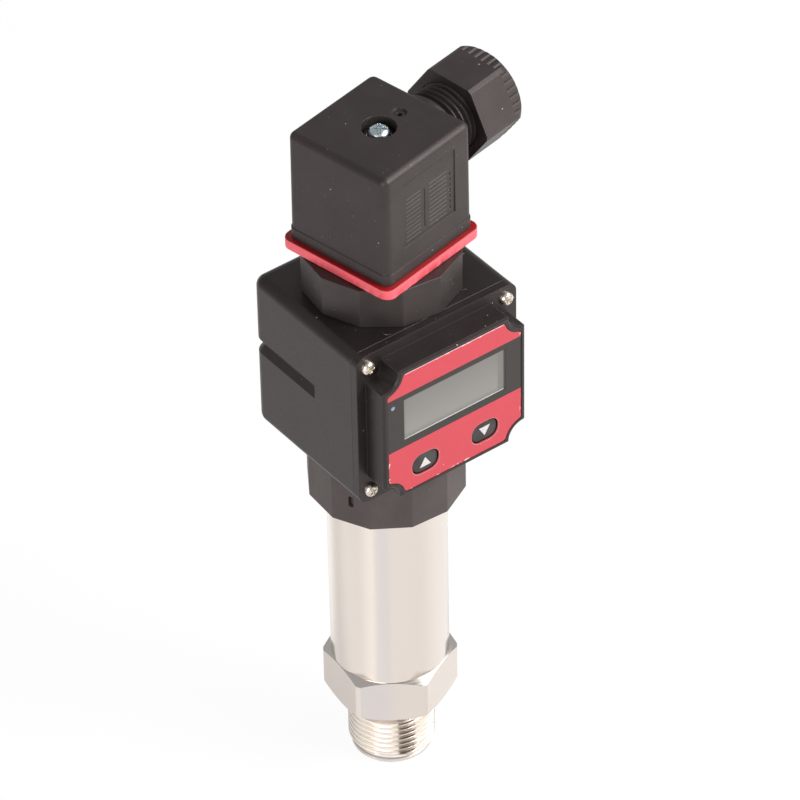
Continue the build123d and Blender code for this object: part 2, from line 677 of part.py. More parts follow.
def front_cover():
    flange = plate(housing_outline(), FLANGE_FACE, SHELL_FRONT)
    bezel = plate(bezel_outline(0, SCALLOP_ROUND), BEZEL_FACE, FLANGE_FACE)
    bezel = chamfer(bezel.edges().group_by(Axis.Y)[0], BEZEL_EDGE)
    lip = plate(offset(opening_outline(), -SEAL_THICKNESS - SEAT), SHELL_FRONT, SHELL_FRONT + LIP_DEPTH)
    body = flange + bezel + lip
    body -= plate(cover_inside(0), FACE_BACK, SHELL_FRONT + LIP_DEPTH + 1)
    body += plate(post_outline(POST_RADIUS), FACE_BACK, DISPLAY_BOARD_FRONT)
    body -= plate(post_outline(BOARD_SCREW_RADIUS + SLIP), FACE_BACK + POST_FLOOR, DISPLAY_BOARD_FRONT + 1)
    body -= plate(bezel_outline(LABEL_RIM, LABEL_ROUND), BEZEL_FACE - 1, LABEL_FLOOR)
    body -= plate(lcd_outline(LENS_OVERLAP), LABEL_FLOOR - 1, LABEL_FLOOR + LENS_THICKNESS)
    body -= plate(lcd_outline(0), LABEL_FLOOR - 1, FACE_BACK + 1)
    body -= plate(button_outline(BUTTON_CLEARANCE), LABEL_FLOOR - 1, FACE_BACK + 1)
    body -= plate(led_outline(SLIP), LABEL_FLOOR - 1, DISPLAY_BOARD_FRONT)
    return body - plate(corner_circles(COVER_SCREW_RADIUS + SLIP), FLANGE_FACE - 1, SHELL_FRONT + 1)


def cover_gasket():
    outer = offset(opening_outline(), -SLIP)
    inner = offset(opening_outline(), -SEAL_THICKNESS)
    return plate(outer - inner, SHELL_FRONT, SHELL_FRONT + SEAL_DEPTH)


def facing_front(screw):
    """Turns a screw that points down so that it points in from the front."""
    return Rot(90, 0, 0) * screw


def cover_screws():
    screw = facing_front(pan_screw(COVER_SCREW_RADIUS, COVER_SCREW_LENGTH, COVER_SCREW_HEAD,
                                   COVER_SCREW_HEAD_HEIGHT))
    places = [(x * SCREW_SIDE, z * SCREW_LEVEL) for x in (-1, 1) for z in (-1, 1)]
    return Compound([Pos(x, FLANGE_FACE, BOX_MIDDLE + z) * screw for x, z in places])


def label_outline():
    return bezel_outline(LABEL_RIM + LABEL_CLEARANCE, LABEL_ROUND)


def band(low, high):
    """A stretch of the label between two heights from the middle of the housing."""
    return label_outline() & (Pos(0, (low + high) / 2) * Rectangle(BEZEL_WIDTH, high - low))


def face_label():
    half = BEZEL_HEIGHT / 2
    upper = plate(band(WINDOW_TOP, half), LABEL_FACE, LABEL_FLOOR)
    lower = plate(band(-half, WINDOW_BOTTOM) - button_outline(BUTTON_CLEARANCE), LABEL_FACE, LABEL_FLOOR)
    return Compound([upper, lower])


def window_panel():
    outline = band(WINDOW_BOTTOM, WINDOW_TOP) - lcd_outline(0) - led_outline(SLIP)
    return plate(outline, LABEL_FACE, LABEL_FLOOR)


def window_lens():
    outline = lcd_outline(LENS_OVERLAP - SLIP)
    return plate(outline, LABEL_FLOOR, LABEL_FLOOR + LENS_THICKNESS)


def lcd_panel():
    return plate(Pos(0, LCD_LEVEL) * Rectangle(LCD_WIDTH, LCD_HEIGHT), LCD_FRONT, LCD_BACK)


def lcd_frame():
    outer = Rectangle(LCD_WIDTH, LCD_HEIGHT)
    inner = Rectangle(LCD_WIDTH - 2 * LCD_FRAME_WALL, LCD_HEIGHT - 2 * LCD_FRAME_WALL)
    return plate(Pos(0, LCD_LEVEL) * (outer - inner), LCD_BACK, DISPLAY_BOARD_FRONT)


def status_led():
    return plate(led_outline(0), LABEL_FACE, DISPLAY_BOARD_FRONT)


def display_board():
    outline = cover_inside(BOARD_CLEARANCE) - post_outline(BOARD_SCREW_RADIUS + SLIP)
    return plate(outline, DISPLAY_BOARD_FRONT, DISPLAY_BOARD_BACK)


def display_board_screws():
    length = DISPLAY_BOARD_BACK - FACE_BACK - POST_FLOOR - LOOSE
    screw = pan_screw(BOARD_SCREW_RADIUS, length, BOARD_SCREW_HEAD, BOARD_SCREW_HEAD_HEIGHT)
    screw = Rot(-90, 0, 0) * screw
    return Compound([Pos(x, DISPLAY_BOARD_BACK, BOX_MIDDLE + z) * screw for x, z in post_points()])


def display_chip():
    outline = Pos(0, DISPLAY_CHIP_LEVEL) * Rectangle(DISPLAY_CHIP_SIZE, DISPLAY_CHIP_SIZE)
    return plate(outline, DISPLAY_BOARD_BACK, DISPLAY_BOARD_BACK + DISPLAY_CHIP_HEIGHT)


def display_capacitors():
    level = LEAD_CONNECTOR_LEVEL - BOX_MIDDLE
    cans = [Pos(side * CAPACITOR_SIDE, level) * Circle(CAPACITOR_RADIUS) for side in (-1, 1)]
    back = DISPLAY_BOARD_BACK + CAPACITOR_HEIGHT
    return Compound([plate(can, DISPLAY_BOARD_BACK, back) for can in cans])


def lead_connector():
    level = LEAD_CONNECTOR_LEVEL - BOX_MIDDLE
    outline = Pos(0, level) * Rectangle(LEAD_CONNECTOR_WIDTH, LEAD_CONNECTOR_HEIGHT)
    return plate(outline, DISPLAY_BOARD_BACK, DISPLAY_BOARD_BACK + LEAD_CONNECTOR_DEPTH)


def lead(points, bend, radius):
    """A lead of round section along straight runs and one bend."""
    path = FilletPolyline(*points, radius=bend)
    start = Plane(origin=path @ 0, z_dir=path % 0)
    return sweep(start * Circle(radius), path)


def signal_leads():
    start = AMPLIFIER_TOP + BUSH_HEIGHT / 3
    stop = DISPLAY_BOARD_BACK + LEAD_CONNECTOR_DEPTH
    points = [(0, 0, start), (0, 0, LEAD_CONNECTOR_LEVEL), (0, stop, LEAD_CONNECTOR_LEVEL)]
    return lead(points, LEAD_BUNDLE_BEND, LEAD_BUNDLE_RADIUS)


def connector_leads():
    tail = BOX_TOP - BASE_SPIGOT_LENGTH - BLADE_TAIL
    leads = []
    for angle in (0, 90, 180):
        x = BLADE_CIRCLE_RADIUS * cos(radians(angle + HOOD_TURN))
        y = BLADE_CIRCLE_RADIUS * sin(radians(angle + HOOD_TURN))
        points = [(x, y, tail), (x, y, WIRE_LEVEL), (x, DISPLAY_BOARD_BACK, WIRE_LEVEL)]
        leads.append(lead(points, WIRE_BEND, WIRE_RADIUS))
    return Compound(leads)


def switch_places():
    return [(-BUTTON_SIDE, BUTTON_LEVEL), (BUTTON_SIDE, BUTTON_LEVEL)]


def switch_bodies():
    bodies = []
    for x, z in switch_places():
        outline = Pos(x, z) * Rectangle(SWITCH_SIZE, SWITCH_SIZE)
        well = Pos(x, z) * Circle(STEM_RADIUS + RUNNING)
        body = plate(outline, SWITCH_FACE, DISPLAY_BOARD_FRONT)
        bodies.append(body - plate(well, SWITCH_FACE - 1, SWITCH_FACE + BUTTON_TRAVEL + 2 * LOOSE))
    return Compound(bodies)


def switch_stem(side):
    outline = Pos(side * BUTTON_SIDE, BUTTON_LEVEL) * Circle(STEM_RADIUS)
    return plate(outline, BUTTON_BACK, SWITCH_FACE + LOOSE / 2)


def button(side):
    """A rubber cap in the face of the cover, with a flange behind that holds it in."""
    place = Pos(side * BUTTON_SIDE, BUTTON_LEVEL)
    cap = RectangleRounded(BUTTON_WIDTH, BUTTON_HEIGHT, BUTTON_CORNER)
    body = plate(place * cap, BUTTON_FACE, BUTTON_BACK)
    body = fillet(body.edges().group_by(Axis.Y)[0], BUTTON_EDGE)
    wide = RectangleRounded(BUTTON_WIDTH + 2 * BUTTON_FLANGE, BUTTON_HEIGHT + 2 * BUTTON_FLANGE,
                            BUTTON_CORNER + BUTTON_FLANGE)
    return body + plate(place * wide, BUTTON_BACK - BUTTON_FLANGE_THICKNESS, BUTTON_BACK)


def arrow(side, up):
    """A small triangle on a button's face."""
    half = ARROW_WIDTH / 2
    tip = up * ARROW_HEIGHT / 2
    points = Polyline((-half, -tip), (half, -tip), (0, tip), close=True)
    outline = Pos(side * BUTTON_SIDE, BUTTON_LEVEL) * make_face(points)
    return plate(outline, BUTTON_FACE - ARROW_THICKNESS, BUTTON_FACE)


def turned(shape):
    """Turns a piece of the plug into line with its hood."""
    return Rot(0, 0, HOOD_TURN) * shape


def blade_places():
    return PolarLocations(BLADE_CIRCLE_RADIUS, 4)


def connector_base():
    body = prism(COLLAR_SIDES, UPPER_COLLAR_ACROSS, BOX_TOP, GASKET_BASE, UPPER_COLLAR_TURN + 15)
    body += rod(BASE_SPIGOT_RADIUS, BOX_TOP - BASE_SPIGOT_LENGTH, BOX_TOP + 1)
    body += turned(block(PLATFORM_SIZE, PLATFORM_SIZE, GASKET_BASE - 1, PLATFORM_TOP))
    groove_half = ORING_SECTION / 2 + SEAT
    groove_outer = BASE_GROOVE_CIRCLE_RADIUS + groove_half
    groove_inner = BASE_GROOVE_CIRCLE_RADIUS - groove_half
    body -= ring(groove_outer, groove_inner, BOX_TOP - 1, BOX_TOP + ORING_SECTION)
    body -= rod(INSERT_RADIUS, PLATFORM_TOP - INSERT_DEPTH, PLATFORM_TOP + 1)
    low = BOX_TOP - BASE_SPIGOT_LENGTH - 1
    slot = block(BLADE_THICKNESS + 2 * SLIP, BLADE_WIDTH + 2 * SLIP, low, PLATFORM_TOP + 1)
    for cut in blade_places() * slot:
        body -= turned(cut)
    return body


def base_oring():
    return torus(BASE_GROOVE_CIRCLE_RADIUS, ORING_SECTION, BOX_TOP + ORING_SECTION / 2)


def base_lock_nut():
    high = BOX_TOP - WALL - SEAT
    body = prism(6, LOCK_NUT_ACROSS, high - LOCK_NUT_HEIGHT, high, 30)
    return body - rod(BASE_SPIGOT_RADIUS + SLIP, high - LOCK_NUT_HEIGHT - 1, high + 1)


def contact_blades():
    low = BOX_TOP - BASE_SPIGOT_LENGTH - BLADE_TAIL
    blade = block(BLADE_THICKNESS, BLADE_WIDTH, low, PLATFORM_TOP + BLADE_RISE)
    return Compound([turned(piece) for piece in blade_places() * blade])


def screw_insert():
    low = PLATFORM_TOP - INSERT_DEPTH
    return ring(INSERT_RADIUS, FIXING_SCREW_RADIUS + SLIP, low, PLATFORM_TOP)


def profile_gasket():
    outer = RectangleRounded(GASKET_SIZE, GASKET_SIZE, GASKET_CORNER)
    inner = Rectangle(PLATFORM_SIZE + 2 * SLIP, PLATFORM_SIZE + 2 * SLIP)
    body = extrude(outer, GASKET_THICKNESS)
    body = fillet(body.edges().group_by(Axis.Z)[-1], GASKET_EDGE)
    body = fillet(body.edges().group_by(Axis.Z)[0], GASKET_EDGE)
    body -= Pos(0, 0, -1) * extrude(inner, GASKET_THICKNESS + 2)
    return turned(Pos(0, 0, GASKET_BASE) * body)


def hood_body():
    """The outer form of the hood, a little narrower at the top."""
    outline = RectangleRounded(HOOD_SIZE, HOOD_SIZE, HOOD_CORNER)
    body = extrude(Pos(0, 0, HOOD_BASE) * outline, HOOD_HEIGHT, taper=HOOD_DRAFT)
    body = fillet(body.edges().group_by(Axis.Z)[-1], HOOD_TOP_ROUND)
    grown = HOOD_SIZE + 2 * SKIRT_STEP
    skirt = extrude(Pos(0, 0, HOOD_BASE) * RectangleRounded(grown, grown, HOOD_CORNER), SKIRT_HEIGHT)
    return body + skirt


def gland_thread():
    """The threaded neck as a run of ridges, with a plain boss behind it."""
    crest = GLAND_THREAD_RADIUS
    root = crest - GLAND_THREAD_DEPTH
    first = THREAD_START + GLAND_THREAD_GAP
    count = int((THREAD_END - first) / GLAND_PITCH)
    points = [(0, HOOD_HALF - HOOD_WALL), (GLAND_BOSS_RADIUS, HOOD_HALF - HOOD_WALL)]
    points += [(GLAND_BOSS_RADIUS, THREAD_START), (root, THREAD_START)]
    for index in range(count):
        start = first + (index + 0.25) * GLAND_PITCH
        points += [(root, start), (crest, start + 0.3 * GLAND_PITCH)]
        points += [(crest, start + 0.42 * GLAND_PITCH), (root, start + 0.72 * GLAND_PITCH)]
    points += [(root, THREAD_END), (0, THREAD_END)]
    profile = make_face(Plane.XZ * Polyline(*points, close=True))
    return Pos(0, 0, GLAND_LEVEL) * (Rot(0, 90, 0) * revolve(profile, Axis.Z))


def hood_panel():
    """The shallow panel on the hood's front, with an upright groove and a row of dashes in its floor."""
    floor = PANEL_DEPTH - HOOD_HALF
    middle = HOOD_BASE + PANEL_LEVEL
    low = middle - PANEL_HEIGHT / 2
    cut = block(PANEL_WIDTH, 2, low, middle + PANEL_HEIGHT / 2, y=floor - 1)
    line_low = low + PANEL_LINE_BASE
    line_high = low + PANEL_LINE_TOP
    depth = 2 * PANEL_LINE_DEPTH
    cut += block(PANEL_LINE_WIDTH, depth, line_low, line_high, x=PANEL_DIVIDER, y=floor)
    pitch = (line_high - line_low) / PANEL_DASH_COUNT
    for index in range(PANEL_DASH_COUNT):
        start = line_low + index * pitch
        cut += block(PANEL_LINE_WIDTH, depth, start, start + PANEL_DASH_LENGTH, x=PANEL_DASH_SIDE, y=floor)
    return cut


def connector_hood():
    body = hood_body() + gland_thread()
    inner = HOOD_SIZE - 2 * HOOD_WALL
    ceiling = HOOD_TOP - HOOD_WALL
    cavity = block(inner, inner, HOOD_BASE - 1, ceiling)
    well_radius = SCREW_WELL_RADIUS + WELL_WALL
    cavity -= rod(well_radius, WELL_FLOOR - WELL_WALL, HOOD_TOP)
    cavity -= rod(TUBE_RADIUS, CARRIER_TOP + SEAT, HOOD_TOP)
    body -= cavity
    body -= rod(SCREW_WELL_RADIUS, WELL_FLOOR, HOOD_TOP + 1)
    body -= rod(FIXING_SCREW_RADIUS + LOOSE, HOOD_BASE, HOOD_TOP)
    dimple = rod(DIMPLE_RADIUS, HOOD_TOP - DIMPLE_DEPTH, HOOD_TOP + 1)
    dimple += rod(DIMPLE_HOLE_RADIUS, HOOD_TOP - DIMPLE_HOLE_DEPTH, HOOD_TOP)
    body -= Pos(DIMPLE_OFFSET, 0, 0) * dimple
    bore = rod(GLAND_BORE, HOOD_HALF - HOOD_WALL - 1, THREAD_END + 1)
    bore += rod(SEAL_SEAT_RADIUS, SEAL_START, THREAD_END + 1)
    body -= Pos(0, 0, GLAND_LEVEL) * (Rot(0, 90, 0) * bore)
    return turned(body - hood_panel())


def contact_carrier():
    size = HOOD_SIZE - 2 * HOOD_WALL - 2 * LOOSE
    body = block(size, size, CARRIER_BASE, CARRIER_TOP)
    body = fillet(body.edges().filter_by(Axis.Z), CARRIER_CORNER)
    body -= rod(FIXING_SCREW_RADIUS + LOOSE, CARRIER_BASE - 1, CARRIER_TOP + 1)
    floor = CARRIER_BASE + SOCKET_FLOOR
    pocket = block(SOCKET_THICKNESS + 2 * SLIP, SOCKET_WIDTH + 2 * SLIP, floor, CARRIER_TOP + 1)
    entry = block(BLADE_THICKNESS + LOOSE, BLADE_WIDTH + LOOSE, CARRIER_BASE - 1, CARRIER_TOP)
    for cut in blade_places() * (pocket + entry):
        body -= cut
    return turned(body)


def terminal_sockets():
    low = CARRIER_BASE + SOCKET_FLOOR
    body = block(SOCKET_THICKNESS, SOCKET_WIDTH, low, low + SOCKET_HEIGHT)
    slot_top = PLATFORM_TOP + BLADE_RISE + LOOSE
    body -= block(BLADE_THICKNESS + 2 * SLIP, BLADE_WIDTH + 2 * SLIP, low - 1, slot_top)
    body -= rod(TERMINAL_SCREW_RADIUS + SLIP, slot_top - 0.1, low + SOCKET_HEIGHT + 1)
    return Compound([turned(piece) for piece in blade_places() * body])


def terminal_screws():
    top = CARRIER_BASE + SOCKET_FLOOR + SOCKET_HEIGHT
    high = top + TERMINAL_HEAD_HEIGHT
    slot = block(3 * TERMINAL_SCREW_HEAD, TERMINAL_SLOT_WIDTH, high - TERMINAL_HEAD_HEIGHT / 2, high + 1)
    screw = rod(TERMINAL_SCREW_HEAD, top, high) - slot
    screw += rod(TERMINAL_SCREW_RADIUS, top - TERMINAL_SCREW_LENGTH, top)
    return Compound([turned(piece) for piece in blade_places() * screw])


def screw_washer():
    low = WELL_FLOOR
    return ring(FIXING_SCREW_HEAD + 0.2, FIXING_SCREW_RADIUS + SLIP, low, low + WASHER_THICKNESS)


def fixing_screw():
    under = WELL_FLOOR + WASHER_THICKNESS
    length = under - (PLATFORM_TOP - FIXING_SCREW_BITE)
    screw = pan_screw(FIXING_SCREW_RADIUS, length, FIXING_SCREW_HEAD, FIXING_SCREW_HEAD_HEIGHT)
    return turned(Rot(0, 0, 30) * (Pos(0, 0, under) * screw))


def gland_seal():
    low = SEAL_START + SEAT
    body = ring(SEAL_SEAT_RADIUS - SLIP, GLAND_SEAL_BORE, low, low + GLAND_SEAL_LENGTH)
    rim = body.edges().group_by(Axis.Z)[-1].sort_by(SortBy.RADIUS)[0]
    return on_gland(chamfer(rim, GLAND_SEAL_LEAD_IN))


def thrust_ring():
    high = NUT_SHOULDER - SEAT
    return on_gland(ring(SEAL_SEAT_RADIUS - 2 * SEAT, THRUST_RING_BORE, high - THRUST_RING_THICKNESS, high))


def nut_ribs():
    """The shallow V-shaped grooves at the outer end of the nut's flats."""
    flat = NUT_ACROSS / 2
    low = flat - NUT_RIB_DEPTH
    high = flat + NUT_RIB_DEPTH
    section = make_face(Polyline((low, 0), (high, NUT_RIB_WIDTH), (high, -NUT_RIB_WIDTH), close=True))
    groove = extrude(Pos(0, 0, NUT_END - NUT_RIB_LENGTH) * section, NUT_RIB_LENGTH + 1)
    first = -(NUT_RIBS_PER_SIDE - 1) / 2 * NUT_RIB_PITCH
    cuts = []
    for side in range(6):
        for index in range(NUT_RIBS_PER_SIDE):
            cut = Pos(0, first + index * NUT_RIB_PITCH, 0) * groove
            cuts.append(Rot(0, 0, side * 60 + NUT_TURN) * cut)
    return cuts


def gland_nut():
    corner = NUT_ACROSS / 2 / cos(radians(30))
    body = prism(6, NUT_ACROSS, NUT_START, NUT_END, NUT_TURN)
    barrel = rod(corner - NUT_CORNER_CUT, NUT_START, NUT_END)
    barrel = fillet(barrel.edges().group_by(Axis.Z)[-1], NUT_FACE_ROUND)
    body &= barrel
    body -= rod(GLAND_THREAD_RADIUS + NUT_BORE_CLEARANCE, NUT_START - 1, NUT_SHOULDER - NUT_RECESS)
    body -= rod(SEAL_SEAT_RADIUS, NUT_START, NUT_SHOULDER)
    body -= rod(NUT_OPENING, NUT_START, NUT_END + 1)
    for cut in nut_ribs():
        body -= cut
    return on_gland(body)


PIECES = {
    "process_fitting": process_fitting,
    "pressure_capsule": pressure_capsule,
    "capsule_oring": capsule_oring,
    "capsule_pins": capsule_pins,
    "capsule_retainer": capsule_retainer,
    "sleeve": sleeve,
    "amplifier_carrier": amplifier_carrier,
    "amplifier_board": amplifier_board,
    "amplifier_parts": amplifier_parts,
    "trimmers": trimmers,
    "lead_bush": lead_bush,
    "lower_collar": lower_collar,
    "sleeve_oring": sleeve_oring,
    "swivel_oring": swivel_oring,
    "swivel_clip": swivel_clip,
    "stop_pin": stop_pin,
    "housing_shell": housing_shell,
    "front_cover": front_cover,
    "cover_gasket": cover_gasket,
    "cover_screws": cover_screws,
    "face_label": face_label,
    "window_panel": window_panel,
    "window_lens": window_lens,
    "lcd_panel": lcd_panel,
    "lcd_frame": lcd_frame,
    "status_led": status_led,
    "display_board": display_board,
    "display_board_screws": display_board_screws,
    "display_chip": display_chip,
    "display_capacitors": display_capacitors,
    "lead_connector": lead_connector,
    "signal_leads": signal_leads,
    "connector_leads": connector_leads,
    "switch_bodies": switch_bodies,
    "switch_stem_up": lambda: switch_stem(-1),
    "switch_stem_down": lambda: switch_stem(1),
    "button_up": lambda: button(-1),
    "button_down": lambda: button(1),
    "arrow_up": lambda: arrow(-1, 1),
    "arrow_down": lambda: arrow(1, -1),
    "connector_base": connector_base,
    "base_oring": base_oring,
    "base_lock_nut": base_lock_nut,
    "contact_blades": contact_blades,
    "screw_insert": screw_insert,
    "profile_gasket": profile_gasket,
    "connector_hood": connector_hood,
    "contact_carrier": contact_carrier,
    "terminal_sockets": terminal_sockets,
    "terminal_screws": terminal_screws,
    "screw_washer": screw_washer,
    "fixing_screw": fixing_screw,
    "gland_seal": gland_seal,
    "thrust_ring": thrust_ring,
    "gland_nut": gland_nut,
}

os.makedirs("parts", exist_ok=True)
for name, make in PIECES.items():
    export_step(make(), f"parts/{name}.step")
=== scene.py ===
from math import cos, pi, radians, sin, tan, tau

import bmesh
import bpy
import numpy as np
from bpy.props import FloatProperty, FloatVectorProperty, PointerProperty
from mathutils import Matrix, Vector


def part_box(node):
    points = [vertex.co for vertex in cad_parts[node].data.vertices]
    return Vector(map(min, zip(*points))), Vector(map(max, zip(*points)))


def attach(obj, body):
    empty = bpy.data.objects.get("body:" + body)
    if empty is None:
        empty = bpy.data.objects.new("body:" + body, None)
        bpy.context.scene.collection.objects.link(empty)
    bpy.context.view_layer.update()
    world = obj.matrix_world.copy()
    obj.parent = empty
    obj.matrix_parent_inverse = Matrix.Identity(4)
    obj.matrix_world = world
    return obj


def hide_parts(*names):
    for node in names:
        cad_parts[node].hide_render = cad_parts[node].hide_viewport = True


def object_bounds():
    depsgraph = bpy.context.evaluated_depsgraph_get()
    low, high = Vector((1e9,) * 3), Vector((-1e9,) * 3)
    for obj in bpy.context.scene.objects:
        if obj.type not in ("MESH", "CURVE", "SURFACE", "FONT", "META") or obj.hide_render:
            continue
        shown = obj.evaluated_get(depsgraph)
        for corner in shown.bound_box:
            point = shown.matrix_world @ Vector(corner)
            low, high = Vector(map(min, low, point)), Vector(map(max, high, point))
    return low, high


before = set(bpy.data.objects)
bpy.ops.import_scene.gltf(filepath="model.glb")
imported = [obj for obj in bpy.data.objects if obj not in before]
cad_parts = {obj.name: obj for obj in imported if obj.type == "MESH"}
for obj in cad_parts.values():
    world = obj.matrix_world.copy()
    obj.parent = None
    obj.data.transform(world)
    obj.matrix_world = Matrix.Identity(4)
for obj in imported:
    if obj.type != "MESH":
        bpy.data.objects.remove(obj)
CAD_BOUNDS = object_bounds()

bl_info = {
    "name": "Pressure transmitter",
    "version": (1, 0, 0),
    "blender": (4, 5, 0),
    "location": "View3D > Sidebar > Transmitter",
    "description": "Dresses the packed pressure transmitter and sets its studio",
    "category": "Object",
}

MM = 0.001
SEED = 27
WELD = 0.0005 * MM
CREASE = 22

# The photograph's camera: a long lens, 40 degrees above the horizon, to the left of the display.
# Angles are in degrees, the distance and the aim in millimetres, and the clipping in metres.
CAMERA_AZIMUTH = -36.8
CAMERA_ELEVATION = 40.3
CAMERA_ROLL = -1.11
CAMERA_DISTANCE = 1201.0
CAMERA_LENS = 247.6
SENSOR_WIDTH = 36.0
CLIPPING = (0.01, 100.0)
AIM_HEIGHT = 90.0
AIM_RIGHT = 3.43
AIM_UP = -4.61


def linear(colour):
    """An sRGB hex colour as the linear RGBA that Blender stores."""
    parts = np.array([int(colour[i:i + 2], 16) for i in (1, 3, 5)]) / 255
    low = parts / 12.92
    high = ((parts + 0.055) / 1.055) ** 2.4
    return (*np.where(parts <= 0.04045, low, high).tolist(), 1.0)


def length(label, text, millimetres):
    """A length property, with its default given in millimetres."""
    return FloatProperty(name=label, description=text, default=millimetres * MM, min=0.0,
                         precision=5, subtype="DISTANCE", unit="LENGTH")


def tint(label, text, colour):
    """A colour property, with its default given in sRGB hex."""
    return FloatVectorProperty(name=label, description=text, default=linear(colour), size=4,
                               min=0.0, max=1.0, subtype="COLOR")


def ratio(label, text, value):
    """A factor without a unit."""
    return FloatProperty(name=label, description=text, default=value, min=0.0, subtype="FACTOR")


def watts(label, text, value):
    """The power of a light."""
    return FloatProperty(name=label, description=text, default=value, min=0.0, unit="POWER")


def corners(node):
    """The lowest and the highest corner of a CAD node, as arrays in metres."""
    low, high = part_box(node)
    return np.array(low), np.array(high)


def link(name, data):
    """A new object in the scene, at the origin."""
    item = bpy.data.objects.new(name, data)
    bpy.context.scene.collection.objects.link(item)
    return item


def coat(mesh, material):
    """Gives a mesh its one material."""
    mesh.materials.clear()
    mesh.materials.append(material)


def dress(material, *nodes):
    """Gives CAD nodes, unmoved and unchanged, a better material in their slots."""
    for node in nodes:
        coat(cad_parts[node].data, material)


def put(name, mesh, body, slot, material, *replaced):
    """Links a finished mesh as a piece of the object, on its body and with its material."""
    piece = link(name, mesh)
    coat(mesh, material)
    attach(piece, body)
    if replaced:
        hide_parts(*replaced)
    return piece


def smooth(mesh):
    """Shades all faces of a mesh smooth."""
    mesh.polygons.foreach_set("use_smooth", np.ones(len(mesh.polygons), bool))
    return mesh


def welded(mesh, sharp, outward=True):
    """Closes the seams of a mesh, and either turns its faces outwards or joins its flat faces. It is
    shaded smooth up to the sharp angle."""
    work = bmesh.new()
    work.from_mesh(mesh)
    bmesh.ops.remove_doubles(work, verts=work.verts, dist=WELD)
    if outward:
        bmesh.ops.recalc_face_normals(work, faces=work.faces)
    else:
        bmesh.ops.dissolve_limit(work, angle_limit=radians(0.5), verts=work.verts, edges=work.edges)
    work.to_mesh(mesh)
    work.free()
    smooth(mesh).set_sharp_from_angle(angle=radians(sharp))
    return mesh


def skin(name, points, loop_rows=False, sharp=30):
    """The surface over a grid of points [row, column, xyz].

    Each row is a closed ring. The first and the last ring are closed by one face each, or are
    joined to each other where the rows make a loop too."""
    rows, columns = points.shape[:2]
    row = np.arange(rows if loop_rows else rows - 1)[:, None]
    column = np.arange(columns)[None, :]
    after = (row + 1) % rows
    beside = (column + 1) % columns
    quads = np.stack([row * columns + column, row * columns + beside,
                      after * columns + beside, after * columns + column], axis=-1).reshape(-1, 4)
    faces = quads.tolist()
    if not loop_rows:
        faces.append(np.arange(columns)[::-1].tolist())
        faces.append((np.arange(columns) + (rows - 1) * columns).tolist())
    mesh = bpy.data.meshes.new(name)
    mesh.from_pydata(points.reshape(-1, 3).tolist(), [], faces)
    return welded(mesh, sharp)


def joined(name, meshes):
    """One mesh from several."""
    work = bmesh.new()
    for mesh in meshes:
        work.from_mesh(mesh)
    result = bpy.data.meshes.new(name)
    work.to_mesh(result)
    work.free()
    return smooth(result)


def turned_rings(profile, steps=128):
    """A profile of (radius, height) pairs carried round the Z axis: x = r cos t, y = r sin t."""
    angle = np.arange(steps) / steps * tau
    radius, height = np.array(profile, float).T
    ring = np.stack([np.cos(angle), np.sin(angle)], axis=-1)
    flat = radius[:, None, None] * ring[None]
    tall = np.broadcast_to(height[:, None, None], (len(radius), steps, 1))
    return np.concatenate([flat, tall], axis=-1)


def rounded_outline(width, height, corner, per_side=8, per_corner=8):
    """Points and outward directions round a rectangle with round corners, anticlockwise.

    Each corner is a quarter circle about its own centre, and the straight sides are divided
    evenly between the quarter circles."""
    quarter = np.linspace(0, pi / 2, per_corner + 1)
    points, normals = [], []
    for index, (sx, sy) in enumerate(((1, 1), (-1, 1), (-1, -1), (1, -1))):
        centre = np.array([sx * (width / 2 - corner), sy * (height / 2 - corner)])
        angle = quarter + index * pi / 2
        normal = np.stack([np.cos(angle), np.sin(angle)], axis=-1)
        arc = centre + corner * normal
        points.append(arc)
        normals.append(normal)
    rings, facing = [], []
    share = np.arange(1, per_side)[:, None] / per_side
    for index in range(4):
        start, stop = points[index][-1], points[(index + 1) % 4][0]
        rings += [points[index], start + (stop - start) * share]
        facing += [normals[index], np.repeat(normals[index][-1:], per_side - 1, axis=0)]
    return np.concatenate(rings), np.concatenate(facing)


def merged_copy(node, name):
    """A copy of a CAD node's mesh with its loose triangles merged and its flat faces joined."""
    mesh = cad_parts[node].data.copy()
    mesh.name = name
    return welded(mesh, CREASE, outward=False)


def soften(piece, edge):
    """Rounds the sharp edges of a piece and keeps its flats flat."""
    bevel = piece.modifiers.new("Round edges", "BEVEL")
    bevel.width = edge
    bevel.segments = 2
    bevel.limit_method = "ANGLE"
    bevel.angle_limit = radians(CREASE)
    bevel.use_clamp_overlap = False
    bevel.miter_outer = "MITER_ARC"
    weighted = piece.modifiers.new("Flat flats", "WEIGHTED_NORMAL")
    weighted.keep_sharp = False


def feed(tree, node, inputs):
    """Gives a node's inputs their values. A socket as a value is linked."""
    for key, value in inputs.items():
        if isinstance(value, bpy.types.NodeSocket):
            tree.links.new(value, node.inputs[key])
        else:
            node.inputs[key].default_value = value


def add(tree, kind, inputs=None, **settings):
    """Adds a node: settings are its own, and the rest goes into its inputs."""
    node = tree.nodes.new(kind)
    for key, value in settings.items():
        setattr(node, key, value)
    feed(tree, node, inputs or {})
    return node


def blank(name):
    """A new material, with its node tree and its Principled shader."""
    material = bpy.data.materials.new(name)
    material.use_nodes = True
    tree = material.node_tree
    return material, tree, tree.nodes["Principled BSDF"]


def settle(tree, shader, **inputs):
    """Sets or links inputs of the shader. An input's name is written with an underscore for a space."""
    feed(tree, shader, {key.replace("_", " "): value for key, value in inputs.items()})


def scaled(colour, factor):
    """A colour made darker or lighter by a factor."""
    return tuple(min(1.0, part * factor) for part in colour[:3]) + (1.0,)


